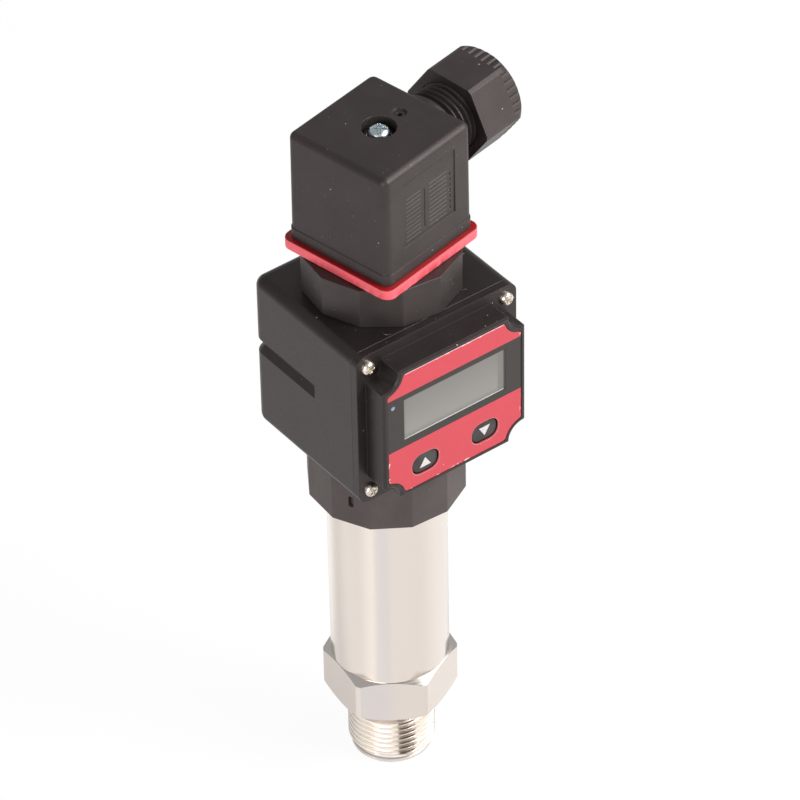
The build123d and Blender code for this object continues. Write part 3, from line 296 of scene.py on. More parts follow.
def object_place(tree, scale=(1, 1, 1)):
    """The place on the object, in metres, stretched by a scale for each axis."""
    place = add(tree, "ShaderNodeTexCoord").outputs["Object"]
    return add(tree, "ShaderNodeMapping", {"Scale": scale, "Vector": place}).outputs["Vector"]


def axes(tree, vector):
    """The X, Y and Z parts of a vector, as sockets."""
    return add(tree, "ShaderNodeSeparateXYZ", {"Vector": vector}).outputs


def upwardness(tree):
    """How far the surface faces up, from -1 to 1."""
    return axes(tree, add(tree, "ShaderNodeNewGeometry").outputs["Normal"])["Z"]


def noise(tree, place, size, detail=3.0, roughness=0.55):
    """A noise whose blotches are about one size across, in metres."""
    return add(tree, "ShaderNodeTexNoise", {"Vector": place, "Scale": 1 / size, "Detail": detail,
                                            "Roughness": roughness}).outputs["Fac"]


def ramp(tree, factor, start, stop, low=0.0, high=1.0):
    """A smooth step of a factor from low to high, between a start and a stop."""
    inputs = {"Value": factor, "From Min": start, "From Max": stop, "To Min": low, "To Max": high}
    return add(tree, "ShaderNodeMapRange", inputs, interpolation_type="SMOOTHSTEP").outputs["Result"]


def blend_colours(tree, factor, first, second):
    """Two colours mixed by a factor. Each is a colour value or a socket."""
    return add(tree, "ShaderNodeMix", {0: factor, 6: first, 7: second}, data_type="RGBA").outputs[2]


def calculate(tree, operation, first, second):
    """One step of arithmetic on two factors or numbers."""
    return add(tree, "ShaderNodeMath", {0: first, 1: second}, operation=operation).outputs["Value"]


def larger(tree, first, second):
    """The larger of two factors."""
    return calculate(tree, "MAXIMUM", first, second)


def times(tree, first, second):
    """The product of two factors or numbers."""
    return calculate(tree, "MULTIPLY", first, second)


def raise_surface(tree, shader, height, distance):
    """Gives the shader a relief from a height factor, as deep as the distance in metres."""
    bump = add(tree, "ShaderNodeBump", {"Strength": 1.0, "Distance": distance, "Height": height})
    settle(tree, shader, Normal=bump.outputs["Normal"])


def scattered_specks(tree, place, spacing, radius, share):
    """A factor of one in small round specks, in that share of the cells of a Voronoi pattern."""
    cells = add(tree, "ShaderNodeTexVoronoi", {"Scale": 1 / spacing, "Vector": place}).outputs
    near = ramp(tree, cells["Distance"], radius / spacing * 0.6, radius / spacing, 1.0, 0.0)
    pick = add(tree, "ShaderNodeSeparateColor", {"Color": cells["Color"]}).outputs["Red"]
    return times(tree, near, calculate(tree, "LESS_THAN", pick, share))


def moulded_polyamide(name, colour, dust, roughness, chamfer=0.0):
    """Black polyamide from a fine-eroded mould. Its chamfers that face halfway up may be duller."""
    material, tree, shader = blank(name)
    # The mould's grain scatters the light into a soft matt sheen, glass fibre lightens the black in
    # faint clouds, and pale dust from handling lies on it in single grains.
    place = object_place(tree)
    clouds = ramp(tree, noise(tree, place, 7 * MM), 0.3, 0.7)
    cloudy = blend_colours(tree, clouds, colour, scaled(colour, 1.35))
    specks = scattered_specks(tree, place, 2.9 * MM, 0.16 * MM, 0.42)
    fine = scattered_specks(tree, place, 1.3 * MM, 0.08 * MM, 0.28)
    dusty = larger(tree, times(tree, specks, 0.85), times(tree, fine, 0.65))
    tooth = noise(tree, place, 0.35 * MM, detail=2.0)
    rough = ramp(tree, tooth, 0.0, 1.0, roughness - 0.07, roughness + 0.09)
    level = upwardness(tree)
    halfway = times(tree, ramp(tree, level, 0.5, 0.64, 0.0, chamfer), ramp(tree, level, 0.78, 0.9, 1.0, 0.0))
    settle(tree, shader, Base_Color=blend_colours(tree, dusty, cloudy, dust),
           Roughness=larger(tree, rough, halfway), Specular_Tint=(1.0, 0.86, 0.85, 1.0))
    raise_surface(tree, shader, tooth, 0.022 * MM)
    return material


def turned_steel(name, colour, roughness, cut, mottle):
    """Stainless steel from the lathe."""
    material, tree, shader = blank(name)
    # The tool leaves fine rings round the axis, so a highlight spreads along the axis. The cut is
    # drawn as coarse as it must be to show.
    rings = noise(tree, object_place(tree, (0.03, 0.03, 1.0)), cut, detail=4.0)
    clouds = noise(tree, object_place(tree), 9 * MM)
    mottled = blend_colours(tree, clouds, colour, scaled(colour, 1 - mottle))
    settle(tree, shader, Metallic=1.0, Base_Color=mottled,
           Roughness=ramp(tree, rings, 0.3, 0.7, roughness - 0.05, roughness + 0.07))
    raise_surface(tree, shader, rings, 0.0012 * MM)
    return material


def plated_metal(name, colour, roughness, blotch, contrast):
    """A bright plated screw."""
    material, tree, shader = blank(name)
    # The thin plating takes on the steel's uneven surface, so its mirror is broken into blotches.
    spots = noise(tree, object_place(tree), blotch, detail=4.0, roughness=0.65)
    patches = blend_colours(tree, ramp(tree, spots, 0.35, 0.65), colour, scaled(colour, 1 - contrast))
    settle(tree, shader, Metallic=1.0, Base_Color=patches,
           Roughness=ramp(tree, spots, 0.3, 0.7, roughness, roughness + 0.2))
    raise_surface(tree, shader, spots, 0.012 * MM)
    return material


def soft_rubber(name, colour, upward, roughness, subsurface=0.0):
    """Moulded rubber or silicone, with another colour where it faces up: painted shade on its upper faces."""
    material, tree, shader = blank(name)
    # Moulded rubber is even in colour with a faint bloom, and its surface has a leathery micro relief.
    place = object_place(tree)
    bloom = ramp(tree, noise(tree, place, 4 * MM), 0.35, 0.65)
    paler = tuple(part * 0.86 + 0.02 for part in colour[:3]) + (1.0,)
    sides = blend_colours(tree, bloom, colour, paler)
    # Upward faces take the second colour, a painted shade as if something over them kept the light off.
    facing = ramp(tree, upwardness(tree), 0.3, 0.8)
    settle(tree, shader, Base_Color=blend_colours(tree, facing, sides, upward), Roughness=roughness,
           Subsurface_Weight=subsurface, Subsurface_Scale=1.2 * MM)
    raise_surface(tree, shader, noise(tree, place, 0.5 * MM), 0.02 * MM)
    return material


def printed_film(name, colour, chip, half_width, half_height, middle, roughness):
    """Polyester film with a printed back, chipped white along its cut edge, with a painted highlight along
    its top edge.
    """
    material, tree, shader = blank(name)
    # Printed film is smooth and even, and where its punched edge was nicked the white film shows.
    place = object_place(tree)
    mottled = blend_colours(tree, noise(tree, place, 5 * MM), colour, scaled(colour, 0.93))
    split = axes(tree, place)
    across = calculate(tree, "ABSOLUTE", split["X"], 0.0)
    height = calculate(tree, "SUBTRACT", split["Z"], middle)
    upward = calculate(tree, "ABSOLUTE", height, 0.0)
    rim = larger(tree, ramp(tree, across, half_width - 0.5 * MM, half_width),
                 ramp(tree, upward, half_height - 0.5 * MM, half_height))
    nicks = ramp(tree, noise(tree, place, 1.6 * MM, detail=4.0), 0.57, 0.64)
    # A light line along the top edge, in the nicks' colour, is a painted highlight on the film's raised edge.
    crest = ramp(tree, height, half_height - 0.3 * MM, half_height - 0.1 * MM, 0.0, 0.55)
    edge = larger(tree, times(tree, rim, nicks), crest)
    specks = scattered_specks(tree, place, 4.2 * MM, 0.16 * MM, 0.3)
    marks = larger(tree, edge, times(tree, specks, 0.6))
    settle(tree, shader, Base_Color=blend_colours(tree, marks, mottled, chip), Roughness=roughness)
    raise_surface(tree, shader, noise(tree, place, 0.4 * MM), 0.008 * MM)
    return material


def plain_finish(name, colour, roughness, metallic=0.0, size=1.5):
    """A small piece's finish, with a faint unevenness from its making."""
    material, tree, shader = blank(name)
    # Spots of the size of the tool's traces darken the colour a little and raise the surface.
    spots = noise(tree, object_place(tree), size * MM)
    patches = blend_colours(tree, ramp(tree, spots, 0.3, 0.7), colour, scaled(colour, 0.8))
    settle(tree, shader, Base_Color=patches, Roughness=roughness, Metallic=metallic)
    raise_surface(tree, shader, spots, 0.02 * MM)
    return material


def clear_acrylic(name):
    """The clear cover of the display."""
    material, tree, shader = blank(name)
    # Clear acrylic shows only its gloss, which the lens's small scratches soften.
    scratches = noise(tree, object_place(tree, (1.0, 1.0, 0.15)), 0.8 * MM, detail=5.0)
    settle(tree, shader, Base_Color=(0.9, 0.9, 0.88, 1.0), IOR=1.49, Alpha=0.04,
           Roughness=ramp(tree, scratches, 0.4, 0.7, 0.06, 0.2))
    raise_surface(tree, shader, noise(tree, object_place(tree), 6 * MM), 0.01 * MM)
    return material


def display_glass(name, look, low, high):
    """The unlit liquid crystal display, a little darker towards its top, which is painted shade, and along
    its right and lower edges.
    """
    material, tree, shader = blank(name)
    # The polariser's backing is an even greenish grey. Its gentle darkening with height is painted shade from
    # the window's upper edge. A dark strip runs along its right edge, and faintly along its bottom.
    place = object_place(tree)
    split = axes(tree, place)
    # Painted shade: darker with height.
    fall = ramp(tree, split["Z"], low[2], high[2])
    uneven = calculate(tree, "ADD", fall, times(tree, noise(tree, place, 8 * MM), 0.15))
    seal = high[0] - 2.85 * MM
    side = ramp(tree, split["X"], seal, seal + 0.3 * MM)
    foot = ramp(tree, split["Z"], low[2] + 1.0 * MM, low[2] + 2.6 * MM, 0.6, 0.0)
    face = blend_colours(tree, uneven, look.glass, look.shade)
    banded = blend_colours(tree, larger(tree, side, foot), face, look.seal)
    settle(tree, shader, Base_Color=banded, Roughness=0.3)
    return material


class ProcessFittingSizes(bpy.types.PropertyGroup):
    thread_radius: length("Thread radius", "Major radius of the process thread", 10.0)
    thread_root: length("Thread root", "Radius at the bottom of the thread", 9.08)
    thread_pitch: length("Thread pitch", "Rise of the thread in one turn", 1.5)
    thread_start: length("Thread start", "Depth of the thread's upper end below the shoulder", 3.6)
    thread_end: length("Thread end", "Depth of the thread's lower end below the shoulder", 16.1)
    relief_radius: length("Relief radius", "Radius of the neck above the thread", 9.0)
    pilot_radius: length("Pilot radius", "Radius of the plain end below the thread", 9.35)
    pilot_chamfer: length("Pilot chamfer", "Chamfer of the plain end", 0.45)
    port_radius: length("Port radius", "Radius of the pressure port", 3.0)
    port_depth: length("Port depth", "Height of the port's top above the shoulder", 4.4)
    hex_across: length("Hexagon across flats", "Distance between opposite flats", 27.0)
    hex_height: length("Hexagon height", "Height of the hexagon", 11.4)
    corner_cut: length("Corner cut", "How far each corner of the hexagon is cut back", 0.35)
    face_radius: length("Face radius", "Radius of the flat ring inside the chamfer", 13.39)
    spigot_radius: length("Spigot radius", "Radius of the spigot inside the sleeve", 11.72)
    spigot_top: length("Spigot top", "Height of the spigot's top above the shoulder", 19.4)
    counterbore: length("Counterbore radius", "Radius of the bore that holds the capsule", 9.55)
    steel: tint("Steel", "Colour of the turned steel", "#E4DCD6")
    rolled: tint("Thread steel", "Colour of the thread's bright steel", "#FFF8F0")


def hexagon_radius(angle, flat, cut):
    """Radius of a hexagon with cut corners: the nearer of two polygons' sides.

    A side's radius is its distance from the axis over the cosine of the angle to its middle. The
    first polygon has the flats, and the second, turned by 30 degrees, has the cut corners."""
    to_flat = (angle + pi / 6) % (pi / 3) - pi / 6
    to_corner = angle % (pi / 3) - pi / 6
    corner = flat / cos(pi / 6) - cut
    return np.minimum(flat / np.cos(to_flat), corner / np.cos(to_corner))


class TRANSMITTER_OT_process_fitting(bpy.types.Operator):
    """Make the process fitting with its hexagon and its thread"""
    bl_idname = "transmitter.process_fitting"
    bl_label = "Process fitting"

    TURN = radians(-6.0)
    CHAMFER_SLOPE = tan(radians(30))
    # Spacing of the lathe's rings
    CUT = 0.22 * MM
    TIP = -17.5 * MM
    RELIEF_ROUNDING = 0.4 * MM
    # Half widths of the thread's ridge at its root and at its crest, as shares of the pitch
    ROOT_SHARE, CREST_SHARE = 0.47, 0.19
    STEPS = 96

    def execute(self, context):
        size = context.scene.process_fitting
        steel = turned_steel("turned_stainless_fitting", size.steel, 0.17, self.CUT, 0.03)
        put("process_fitting_body", self.body(size), "process_body", "fitting_steel", steel,
            "process_fitting")
        bright = turned_steel("rolled_stainless_thread", size.rolled, 0.22, self.CUT, 0.03)
        put("process_thread", self.thread(size), "process_body", "fitting_steel", bright)
        return {"FINISHED"}

    def columns(self, size):
        """Angles round the hexagon, closer together at its cut corners."""
        flat = size.hex_across / 2
        half_cut = np.arctan(size.corner_cut * tan(radians(60)) / (flat / cos(pi / 6) - size.corner_cut))
        side = np.linspace(-pi / 6 + half_cut, pi / 6 - half_cut, 13)
        one = np.append(side, pi / 6)
        return (one[None, :] + np.arange(6)[:, None] * pi / 3).ravel()

    def body(self, size):
        """Rings of radius and height round the axis. On the hexagon the radius follows its outline,
        and the chamfer's height is what a 30 degree cone leaves: (outline - face radius) x tan 30."""
        angle = self.columns(size)
        outline = hexagon_radius(angle, size.hex_across / 2, size.corner_cut)
        rise = np.maximum((outline - size.face_radius) * self.CHAMFER_SLOPE, 0.01 * MM)
        chamfer, rounding = size.pilot_chamfer, self.RELIEF_ROUNDING
        rings = [
            (size.port_radius, self.TIP + rounding),
            (size.port_radius + rounding, self.TIP),
            (size.pilot_radius - chamfer, self.TIP),
            (size.pilot_radius, self.TIP + chamfer),
            (size.pilot_radius, -size.thread_end - 0.15 * MM),
            (size.thread_root, -size.thread_end + 0.05 * MM),
            (size.thread_root, -size.thread_start - 0.1 * MM),
            (size.relief_radius, -size.thread_start),
            (size.relief_radius, -rounding),
            (size.relief_radius + 0.12 * MM, -0.12 * MM),
            (size.relief_radius + rounding, 0.0),
            (size.face_radius, 0.0),
            (outline, rise),
            (outline, size.hex_height - rise),
            (size.face_radius, size.hex_height),
            (size.spigot_radius, size.hex_height),
            (size.spigot_radius, size.spigot_top),
            (size.counterbore, size.spigot_top),
            (size.counterbore, size.port_depth),
            (size.port_radius, size.port_depth),
        ]
        radius, height = (np.stack([ring[part] * np.ones_like(angle) for ring in rings]) for part in (0, 1))
        turn = angle + self.TURN
        points = np.stack([radius * np.cos(turn), radius * np.sin(turn), height], axis=-1)
        return skin("process_fitting_body", points, loop_rows=True, sharp=20)

    def thread(self, size):
        """A ridge along a helix: radius root + depth x fade, height falling one pitch a turn.

        The fade rises from nothing to one over the first third of a turn and falls again at the end."""
        turns = (size.thread_end - size.thread_start) / size.thread_pitch - 0.9
        travel = np.linspace(0, turns, int(turns * self.STEPS) + 1)
        fade = np.clip(np.minimum(travel, turns - travel) * 3, 0, 1)
        fade = fade * fade * (3 - 2 * fade)
        depth = size.thread_radius - size.thread_root
        root, crest = size.thread_pitch * self.ROOT_SHARE, size.thread_pitch * self.CREST_SHARE
        # The section's corners: a height and a place along the axis. Its foot lies 0.3 mm in the core.
        half = [(-0.3, root), (0.0, root), (1.0, crest)]
        section = np.array([(rise, -along) for rise, along in half] + half[::-1])
        rise, along = section.T
        lift = np.where(rise > 0, rise * depth * fade[:, None], rise * MM)
        radius = size.thread_root + lift
        spread = along * np.where(rise > 0, 1.0, 0.2 + 0.8 * fade[:, None])
        top = -size.thread_start - size.thread_pitch * 0.5
        height = top - travel[:, None] * size.thread_pitch + spread
        angle = -travel[:, None] * tau
        points = np.stack([radius * np.cos(angle), radius * np.sin(angle), height], axis=-1)
        return skin("process_thread", points, sharp=25)


class SleeveSizes(bpy.types.PropertyGroup):
    radius: length("Radius", "Outer radius of the sleeve", 13.5)
    wall: length("Wall", "Wall of the sleeve", 1.75)
    edge: length("Edge", "Rounding of the sleeve's lower edge", 0.3)
    steel: tint("Steel", "Colour of the sleeve's steel", "#E8E0D9")


class TRANSMITTER_OT_sleeve(bpy.types.Operator):
    """Make the round steel sleeve"""
    bl_idname = "transmitter.sleeve"
    bl_label = "Sleeve"

    def execute(self, context):
        size = context.scene.sleeve
        low, high = corners("sleeve")
        bottom, top = low[2], high[2]
        outer, inner = size.radius, size.radius - size.wall
        # Formula: the wall's section, a rectangle with a quarter-round outer edge, carried round the axis.
        arc = np.linspace(0, pi / 2, 5)
        rounding = [(outer - size.edge * (1 - np.sin(t)), bottom + size.edge * (1 - np.cos(t))) for t in arc]
        profile = rounding + [(outer, top - size.edge), (outer - size.edge, top), (inner, top),
                              (inner, bottom)]
        steel = turned_steel("turned_stainless_sleeve", size.steel, 0.17, 0.16 * MM, 0.02)
        mesh = skin("sleeve_tube", turned_rings(profile, 160), loop_rows=True)
        put("sleeve_tube", mesh, "process_body", "sleeve_steel", steel, "sleeve")
        return {"FINISHED"}


class PlasticLook(bpy.types.PropertyGroup):
    black: tint("Black", "Colour of the black polyamide", "#171413")
    dust: tint("Dust", "Colour of the dust on it", "#C4BAB3")
    rounding: ratio("Rounding", "Factor on the rounding of all the moulded edges", 1.0)


class TRANSMITTER_OT_black_pieces(bpy.types.Operator):
    """Make the moulded black pieces: both collars, the housing, the cover, the hood and the gland nut"""
    bl_idname = "transmitter.black_pieces"
    bl_label = "Black pieces"

    # CAD node, piece, body, slot, rounding of its edges in millimetres, roughness, and how many times paler
    # than the black it is. Paleness above one is painted light: the piece is lightened as far as the light
    # made it read brighter, and for the lower collar also its rubbed grey.
    PIECES = (
        ("lower_collar", "collar_body", "process_body", "collar_plastic", 0.2, 0.5, 4.5),
        ("connector_base", "connector_base_body", "display_head", "base_plastic", 0.2, 0.42, 2.2),
        ("housing_shell", "housing_body", "display_head", "housing_plastic", 0.1, 0.38, 1.0),
        ("front_cover", "front_cover_body", "display_head", "cover_plastic", 0.08, 0.42, 1.0),
        ("connector_hood", "hood_body", "display_head", "hood_plastic", 0.12, 0.48, 1.7),
        ("gland_nut", "gland_nut_body", "gland_cap", "gland_plastic", 0.03, 0.45, 2.0),
    )

    def execute(self, context):
        look = context.scene.black_pieces
        for node, name, body, slot, edge, roughness, paler in self.PIECES:
            # The cover's chamfer is dull, or it would mirror the key light as a bright stripe.
            # Each piece's black, made paler by its factor, is partly painted light.
            chamfer = 0.9 if node == "front_cover" else 0.0
            material = moulded_polyamide(f"moulded_polyamide_{slot}", scaled(look.black, paler), look.dust,
                                         roughness, chamfer)
            piece = put(name, merged_copy(node, name), body, slot, material, node)
            soften(piece, edge * look.rounding * MM)
        return {"FINISHED"}


class ScrewSizes(bpy.types.PropertyGroup):
    head_radius: length("Cover screw head", "Radius of a cover screw's head", 1.65)
    head_height: length("Cover screw head height", "Height of a cover screw's head", 1.25)
    shank_radius: length("Cover screw shank", "Radius of a cover screw's shank", 1.0)
    fixing_head: length("Fixing screw head", "Radius of the fixing screw's head", 2.6)
    fixing_height: length("Fixing screw head height", "Height of the fixing screw's head", 2.2)
    nickel: tint("Nickel", "Colour of the cover screws", "#F0E7DA")
    zinc: tint("Zinc", "Colour of the fixing screw", "#D5E0E4")


def cross_head_screw(name, head, height, shank, reach, turn, recess=0.62, arm=0.3):
    """A pan-head screw about +Z, with the underside of its head at zero.

    The head's height is H x sqrt(1 - (r / R)^4). The cross sinks into it where the smaller of |x| and
    |y| is under half an arm's width and the larger is under the cross's reach, deepest at the middle."""
    steps = 96
    angle = np.arange(steps) / steps * tau
    shoulder = 1 - 0.1 * np.cos(np.linspace(0, pi / 2, 7))[1:]
    radius = np.concatenate([np.linspace(0.02, 0.9, 30), shoulder]) * head
    r, t = np.meshgrid(radius, angle, indexing="ij")
    x, y = r * np.cos(t), r * np.sin(t)
    crown = height * np.sqrt(np.maximum(1 - (r / head) ** 4, 0))
    near, far = np.minimum(np.abs(x), np.abs(y)), np.maximum(np.abs(x), np.abs(y))
    wall = 0.05 * head
    reach_in = recess * head
    inside = (np.clip((arm * head / 2 - near) / wall + 0.5, 0, 1)
              * np.clip((reach_in - far) / wall + 0.5, 0, 1))
    sunk = inside * height * (0.75 - 0.45 * far / reach_in)
    top = np.stack([x, y, crown - sunk], axis=-1)
    below = turned_rings([(shank, 0.0), (shank, -reach + shank * 0.4), (shank * 0.6, -reach)], steps)
    mesh = skin(name, np.concatenate([top, below]), sharp=35)
    mesh.transform(Matrix.Rotation(turn, 4, "Z"))
    return mesh


class TRANSMITTER_OT_screws(bpy.types.Operator):
    """Make the four cover screws and the fixing screw in the hood"""
    bl_idname = "transmitter.screws"
    bl_label = "Screws"

    # How far each screw is turned, in radians
    TURNS = (0.5, 0.2, 1.1, 0.8)
    FIXING_TURN = 0.9
    FIXING_SHANK = 1.5 * MM

    def execute(self, context):
        size = context.scene.screws
        low, high = corners("cover_screws")
        nickel = plated_metal("nickel_plated_steel", size.nickel, 0.16, 0.7 * MM, 0.3)
        face = low[1] + size.head_height
        places = [(low[0], low[2]), (low[0], high[2]), (high[0], low[2]), (high[0], high[2])]
        middle = (low + high) / 2
        meshes = []
        for (x, z), turn in zip(places, self.TURNS):
            mesh = cross_head_screw("cover_screw", size.head_radius, size.head_height, size.shank_radius,
                                    high[1] - face, turn)
            shift = Vector((x + np.sign(middle[0] - x) * size.head_radius, face,
                            z + np.sign(middle[2] - z) * size.head_radius))
            mesh.transform(Matrix.Translation(shift) @ Matrix.Rotation(pi / 2, 4, "X"))
            meshes.append(mesh)
        put("cover_screw_heads", joined("cover_screw_heads", meshes), "display_head", "cover_screw_nickel",
            nickel, "cover_screws")
        low, high = corners("fixing_screw")
        zinc = plated_metal("zinc_plated_steel", size.zinc, 0.2, 1.1 * MM, 0.25)
        face = high[2] - size.fixing_height
        mesh = cross_head_screw("fixing_screw_body", size.fixing_head, size.fixing_height, self.FIXING_SHANK,
                                face - low[2], self.FIXING_TURN, recess=0.68, arm=0.26)
        mesh.transform(Matrix.Translation((0, 0, face)))
        put("fixing_screw_body", mesh, "display_head", "fixing_screw_zinc", zinc, "fixing_screw")
        return {"FINISHED"}


class GasketSizes(bpy.types.PropertyGroup):
    turn: FloatProperty(name="Turn", description="Turn of the plug about the vertical axis",
                        default=radians(11.6), subtype="ANGLE", unit="ROTATION")
    outer: length("Outside", "Width of the gasket over its sides", 30.5)
    inner: length("Inside", "Width of the gasket's opening", 21.46)
    corner: length("Corner", "Radius of its corners", 2.4)
    edge: length("Edge", "Rounding of its edges", 0.3)
    ragged: length("Ragged", "How uneven the moulding flash on its lower edge is", 0.16)
    red: tint("Red", "Colour of the silicone", "#E0545E")
    # The upper face's darker red is painted shade, as under the hood's skirt.
    deep: tint("Upper face", "Colour of the gasket's upper face", "#8E080E")


class TRANSMITTER_OT_gasket(bpy.types.Operator):
    """Make the flat red gasket under the hood"""
    bl_idname = "transmitter.gasket"
    bl_label = "Gasket"

    def execute(self, context):
        size = context.scene.gasket
        low, high = corners("profile_gasket")
        mesh = self.body(size, low[2], high[2])
        # The darker red on the gasket's upper face is painted shade.
        silicone = soft_rubber("red_silicone", size.red, size.deep, 0.42, 0.15)
        put("gasket_body", mesh, "display_head", "gasket_silicone", silicone, "profile_gasket")
        return {"FINISHED"}

    def body(self, size, bottom, top):
        """A flat section carried round a rounded square. The lower outer edge is moved in and out,
        and up and down, by smoothed random steps that stand for the flash of the mould."""
        outline, normal = rounded_outline(size.outer, size.outer, size.corner, 64, 14)
        opening, _ = rounded_outline(size.inner, size.inner, 0.3 * MM, 64, 14)
        count = len(outline)
        rough = np.random.default_rng(SEED).normal(size=(2, count))
        kernel = np.array([1, 2, 3, 2, 1]) / 9
        rough = np.stack([np.convolve(np.pad(row, 2, "wrap"), kernel, "valid") for row in rough])
        rough = rough / np.abs(rough).max() * size.ragged
        edge = size.edge
        arc = np.linspace(0, pi / 2, 6)
        rings = []
        for t in arc:
            share = np.cos(t)
            inset = edge * (1 - np.sin(t)) - rough[0] * share * 0.7
            level = bottom + edge * (1 - np.cos(t)) * 0.8 + (rough[1] + size.ragged) * share
            rings.append((outline - normal * inset[:, None], level))
        for t in arc:
            rings.append((outline - normal * edge * (1 - np.cos(t)), top - edge * (1 - np.sin(t))))
        rings += [(opening, top), (opening, bottom)]
        points = np.stack([np.concatenate([ring, np.broadcast_to(level, (count,))[:, None]], axis=1)
                           for ring, level in rings])
        mesh = skin("gasket_body", points, loop_rows=True, sharp=50)
        mesh.transform(Matrix.Rotation(size.turn, 4, "Z"))
        return mesh


class DisplayLook(bpy.types.PropertyGroup):
    red: tint("Band", "Colour of the red bands", "#B0323E")
    window: tint("Window", "Colour of the window's surround", "#231E1C")
    # The nicks' colour also paints the highlight along the film's top edge.
    chip: tint("Nicks", "Colour where the film is nicked", "#E8D5D2")
    glass: tint("Display", "Colour of the unlit display", "#777470")
    # The shade towards the top is painted shade from the window's upper edge.
    shade: tint("Display shade", "Colour towards the display's top", "#696662")
    seal: tint("Seal", "Colour of the display's sealed edge", "#62605B")
    bevel: tint("Bevel", "Colour of the lens's cut edge", "#4E504A")
    rim: length("Bevel width", "Width of the lens's cut edge", 0.2)


def upright(rings, centre):
    """Outlines [point, xz] at their depths, moved to a centre, as points [row, column, xyz]."""
    return np.stack([np.stack([ring[:, 0] + centre[0], np.full(len(ring), depth), ring[:, 1] + centre[1]],
                              axis=-1) for ring, depth in rings])


def frame_skin(name, outer, inner, centre, front, back):
    """A flat ring parallel to the display, between two outlines [point, xz] of equal length.

    Its face slopes from the front depth at the outer outline to the back depth at the inner one."""
    behind = back + 0.05 * MM
    rings = ((outer, front), (inner, back), (inner, behind), (outer, behind))
    return skin(name, upright(rings, centre), loop_rows=True)


class TRANSMITTER_OT_display(bpy.types.Operator):
    """Finish the label, the window and the display"""
    bl_idname = "transmitter.display"
    bl_label = "Display"

    # How far the lens reaches under the edge of the window on each side
    OVERLAP = 0.87 * MM

    def execute(self, context):
        look = context.scene.display_look
        low, high = corners("face_label")
        half_width, half_height = (high[0] - low[0]) / 2, (high[2] - low[2]) / 2
        middle = (high[2] + low[2]) / 2
        dress(printed_film("red_printed_film", look.red, look.chip, half_width, half_height, middle, 0.38),
              "face_label")
        dress(printed_film("grey_printed_film", look.window, look.chip, half_width + MM, half_height, middle,
                           0.3), "window_panel")
        low, high = corners("window_lens")
        glass = display_glass("display_glass", look, low, high)
        dress(glass, "lcd_panel")
        dress(clear_acrylic("clear_acrylic"), "window_lens")
        self.bevel(look, low, high, glass)
        return {"FINISHED"}

    def bevel(self, look, low, high, glass):
        """The lens's cut edge, a sloping frame just inside the window's opening, and the grey
        polariser that shows inside it."""
        width, _, height = high - low - 2 * self.OVERLAP
        centre = ((low + high) / 2)[[0, 2]]
        outer, _ = rounded_outline(width, height, 0.2 * MM, 6, 3)
        inner, _ = rounded_outline(width - 2 * look.rim, height - 2 * look.rim, 0.1 * MM, 6, 3)
        front = low[1] - 0.2 * MM
        mesh = frame_skin("lens_bevel", outer, inner, centre, front, front + 0.17 * MM)
        put("lens_bevel", mesh, "display_head", "frame_plastic", plain_finish("cut_acrylic", look.bevel, 0.3))
        # Formula: the bevel's inner outline, filled, just before the bevel's back depth.
        points = upright([(inner, front + 0.16 * MM)], centre)[0]
        sheet = bpy.data.meshes.new("display_face")
        sheet.from_pydata(points.tolist(), [], [range(len(points))])
        put("display_face", sheet, "display_head", "lcd_glass", glass)


class ButtonLook(bpy.types.PropertyGroup):
    width: length("Width", "Width of a button", 7.0)
    height: length("Height", "Height of a button", 5.2)
    corner: length("Corner", "Radius of a button's corners", 2.3)
    dome: length("Dome", "How far the middle of a button stands above its rim", 0.22)
    rubber: tint("Rubber", "Colour of the buttons", "#1F1B1A")
    print_white: tint("Print", "Colour of the arrows", "#BDB6B6")
    rim: tint("Rim", "Colour of the cut edge of the film round the buttons", "#A8908C")


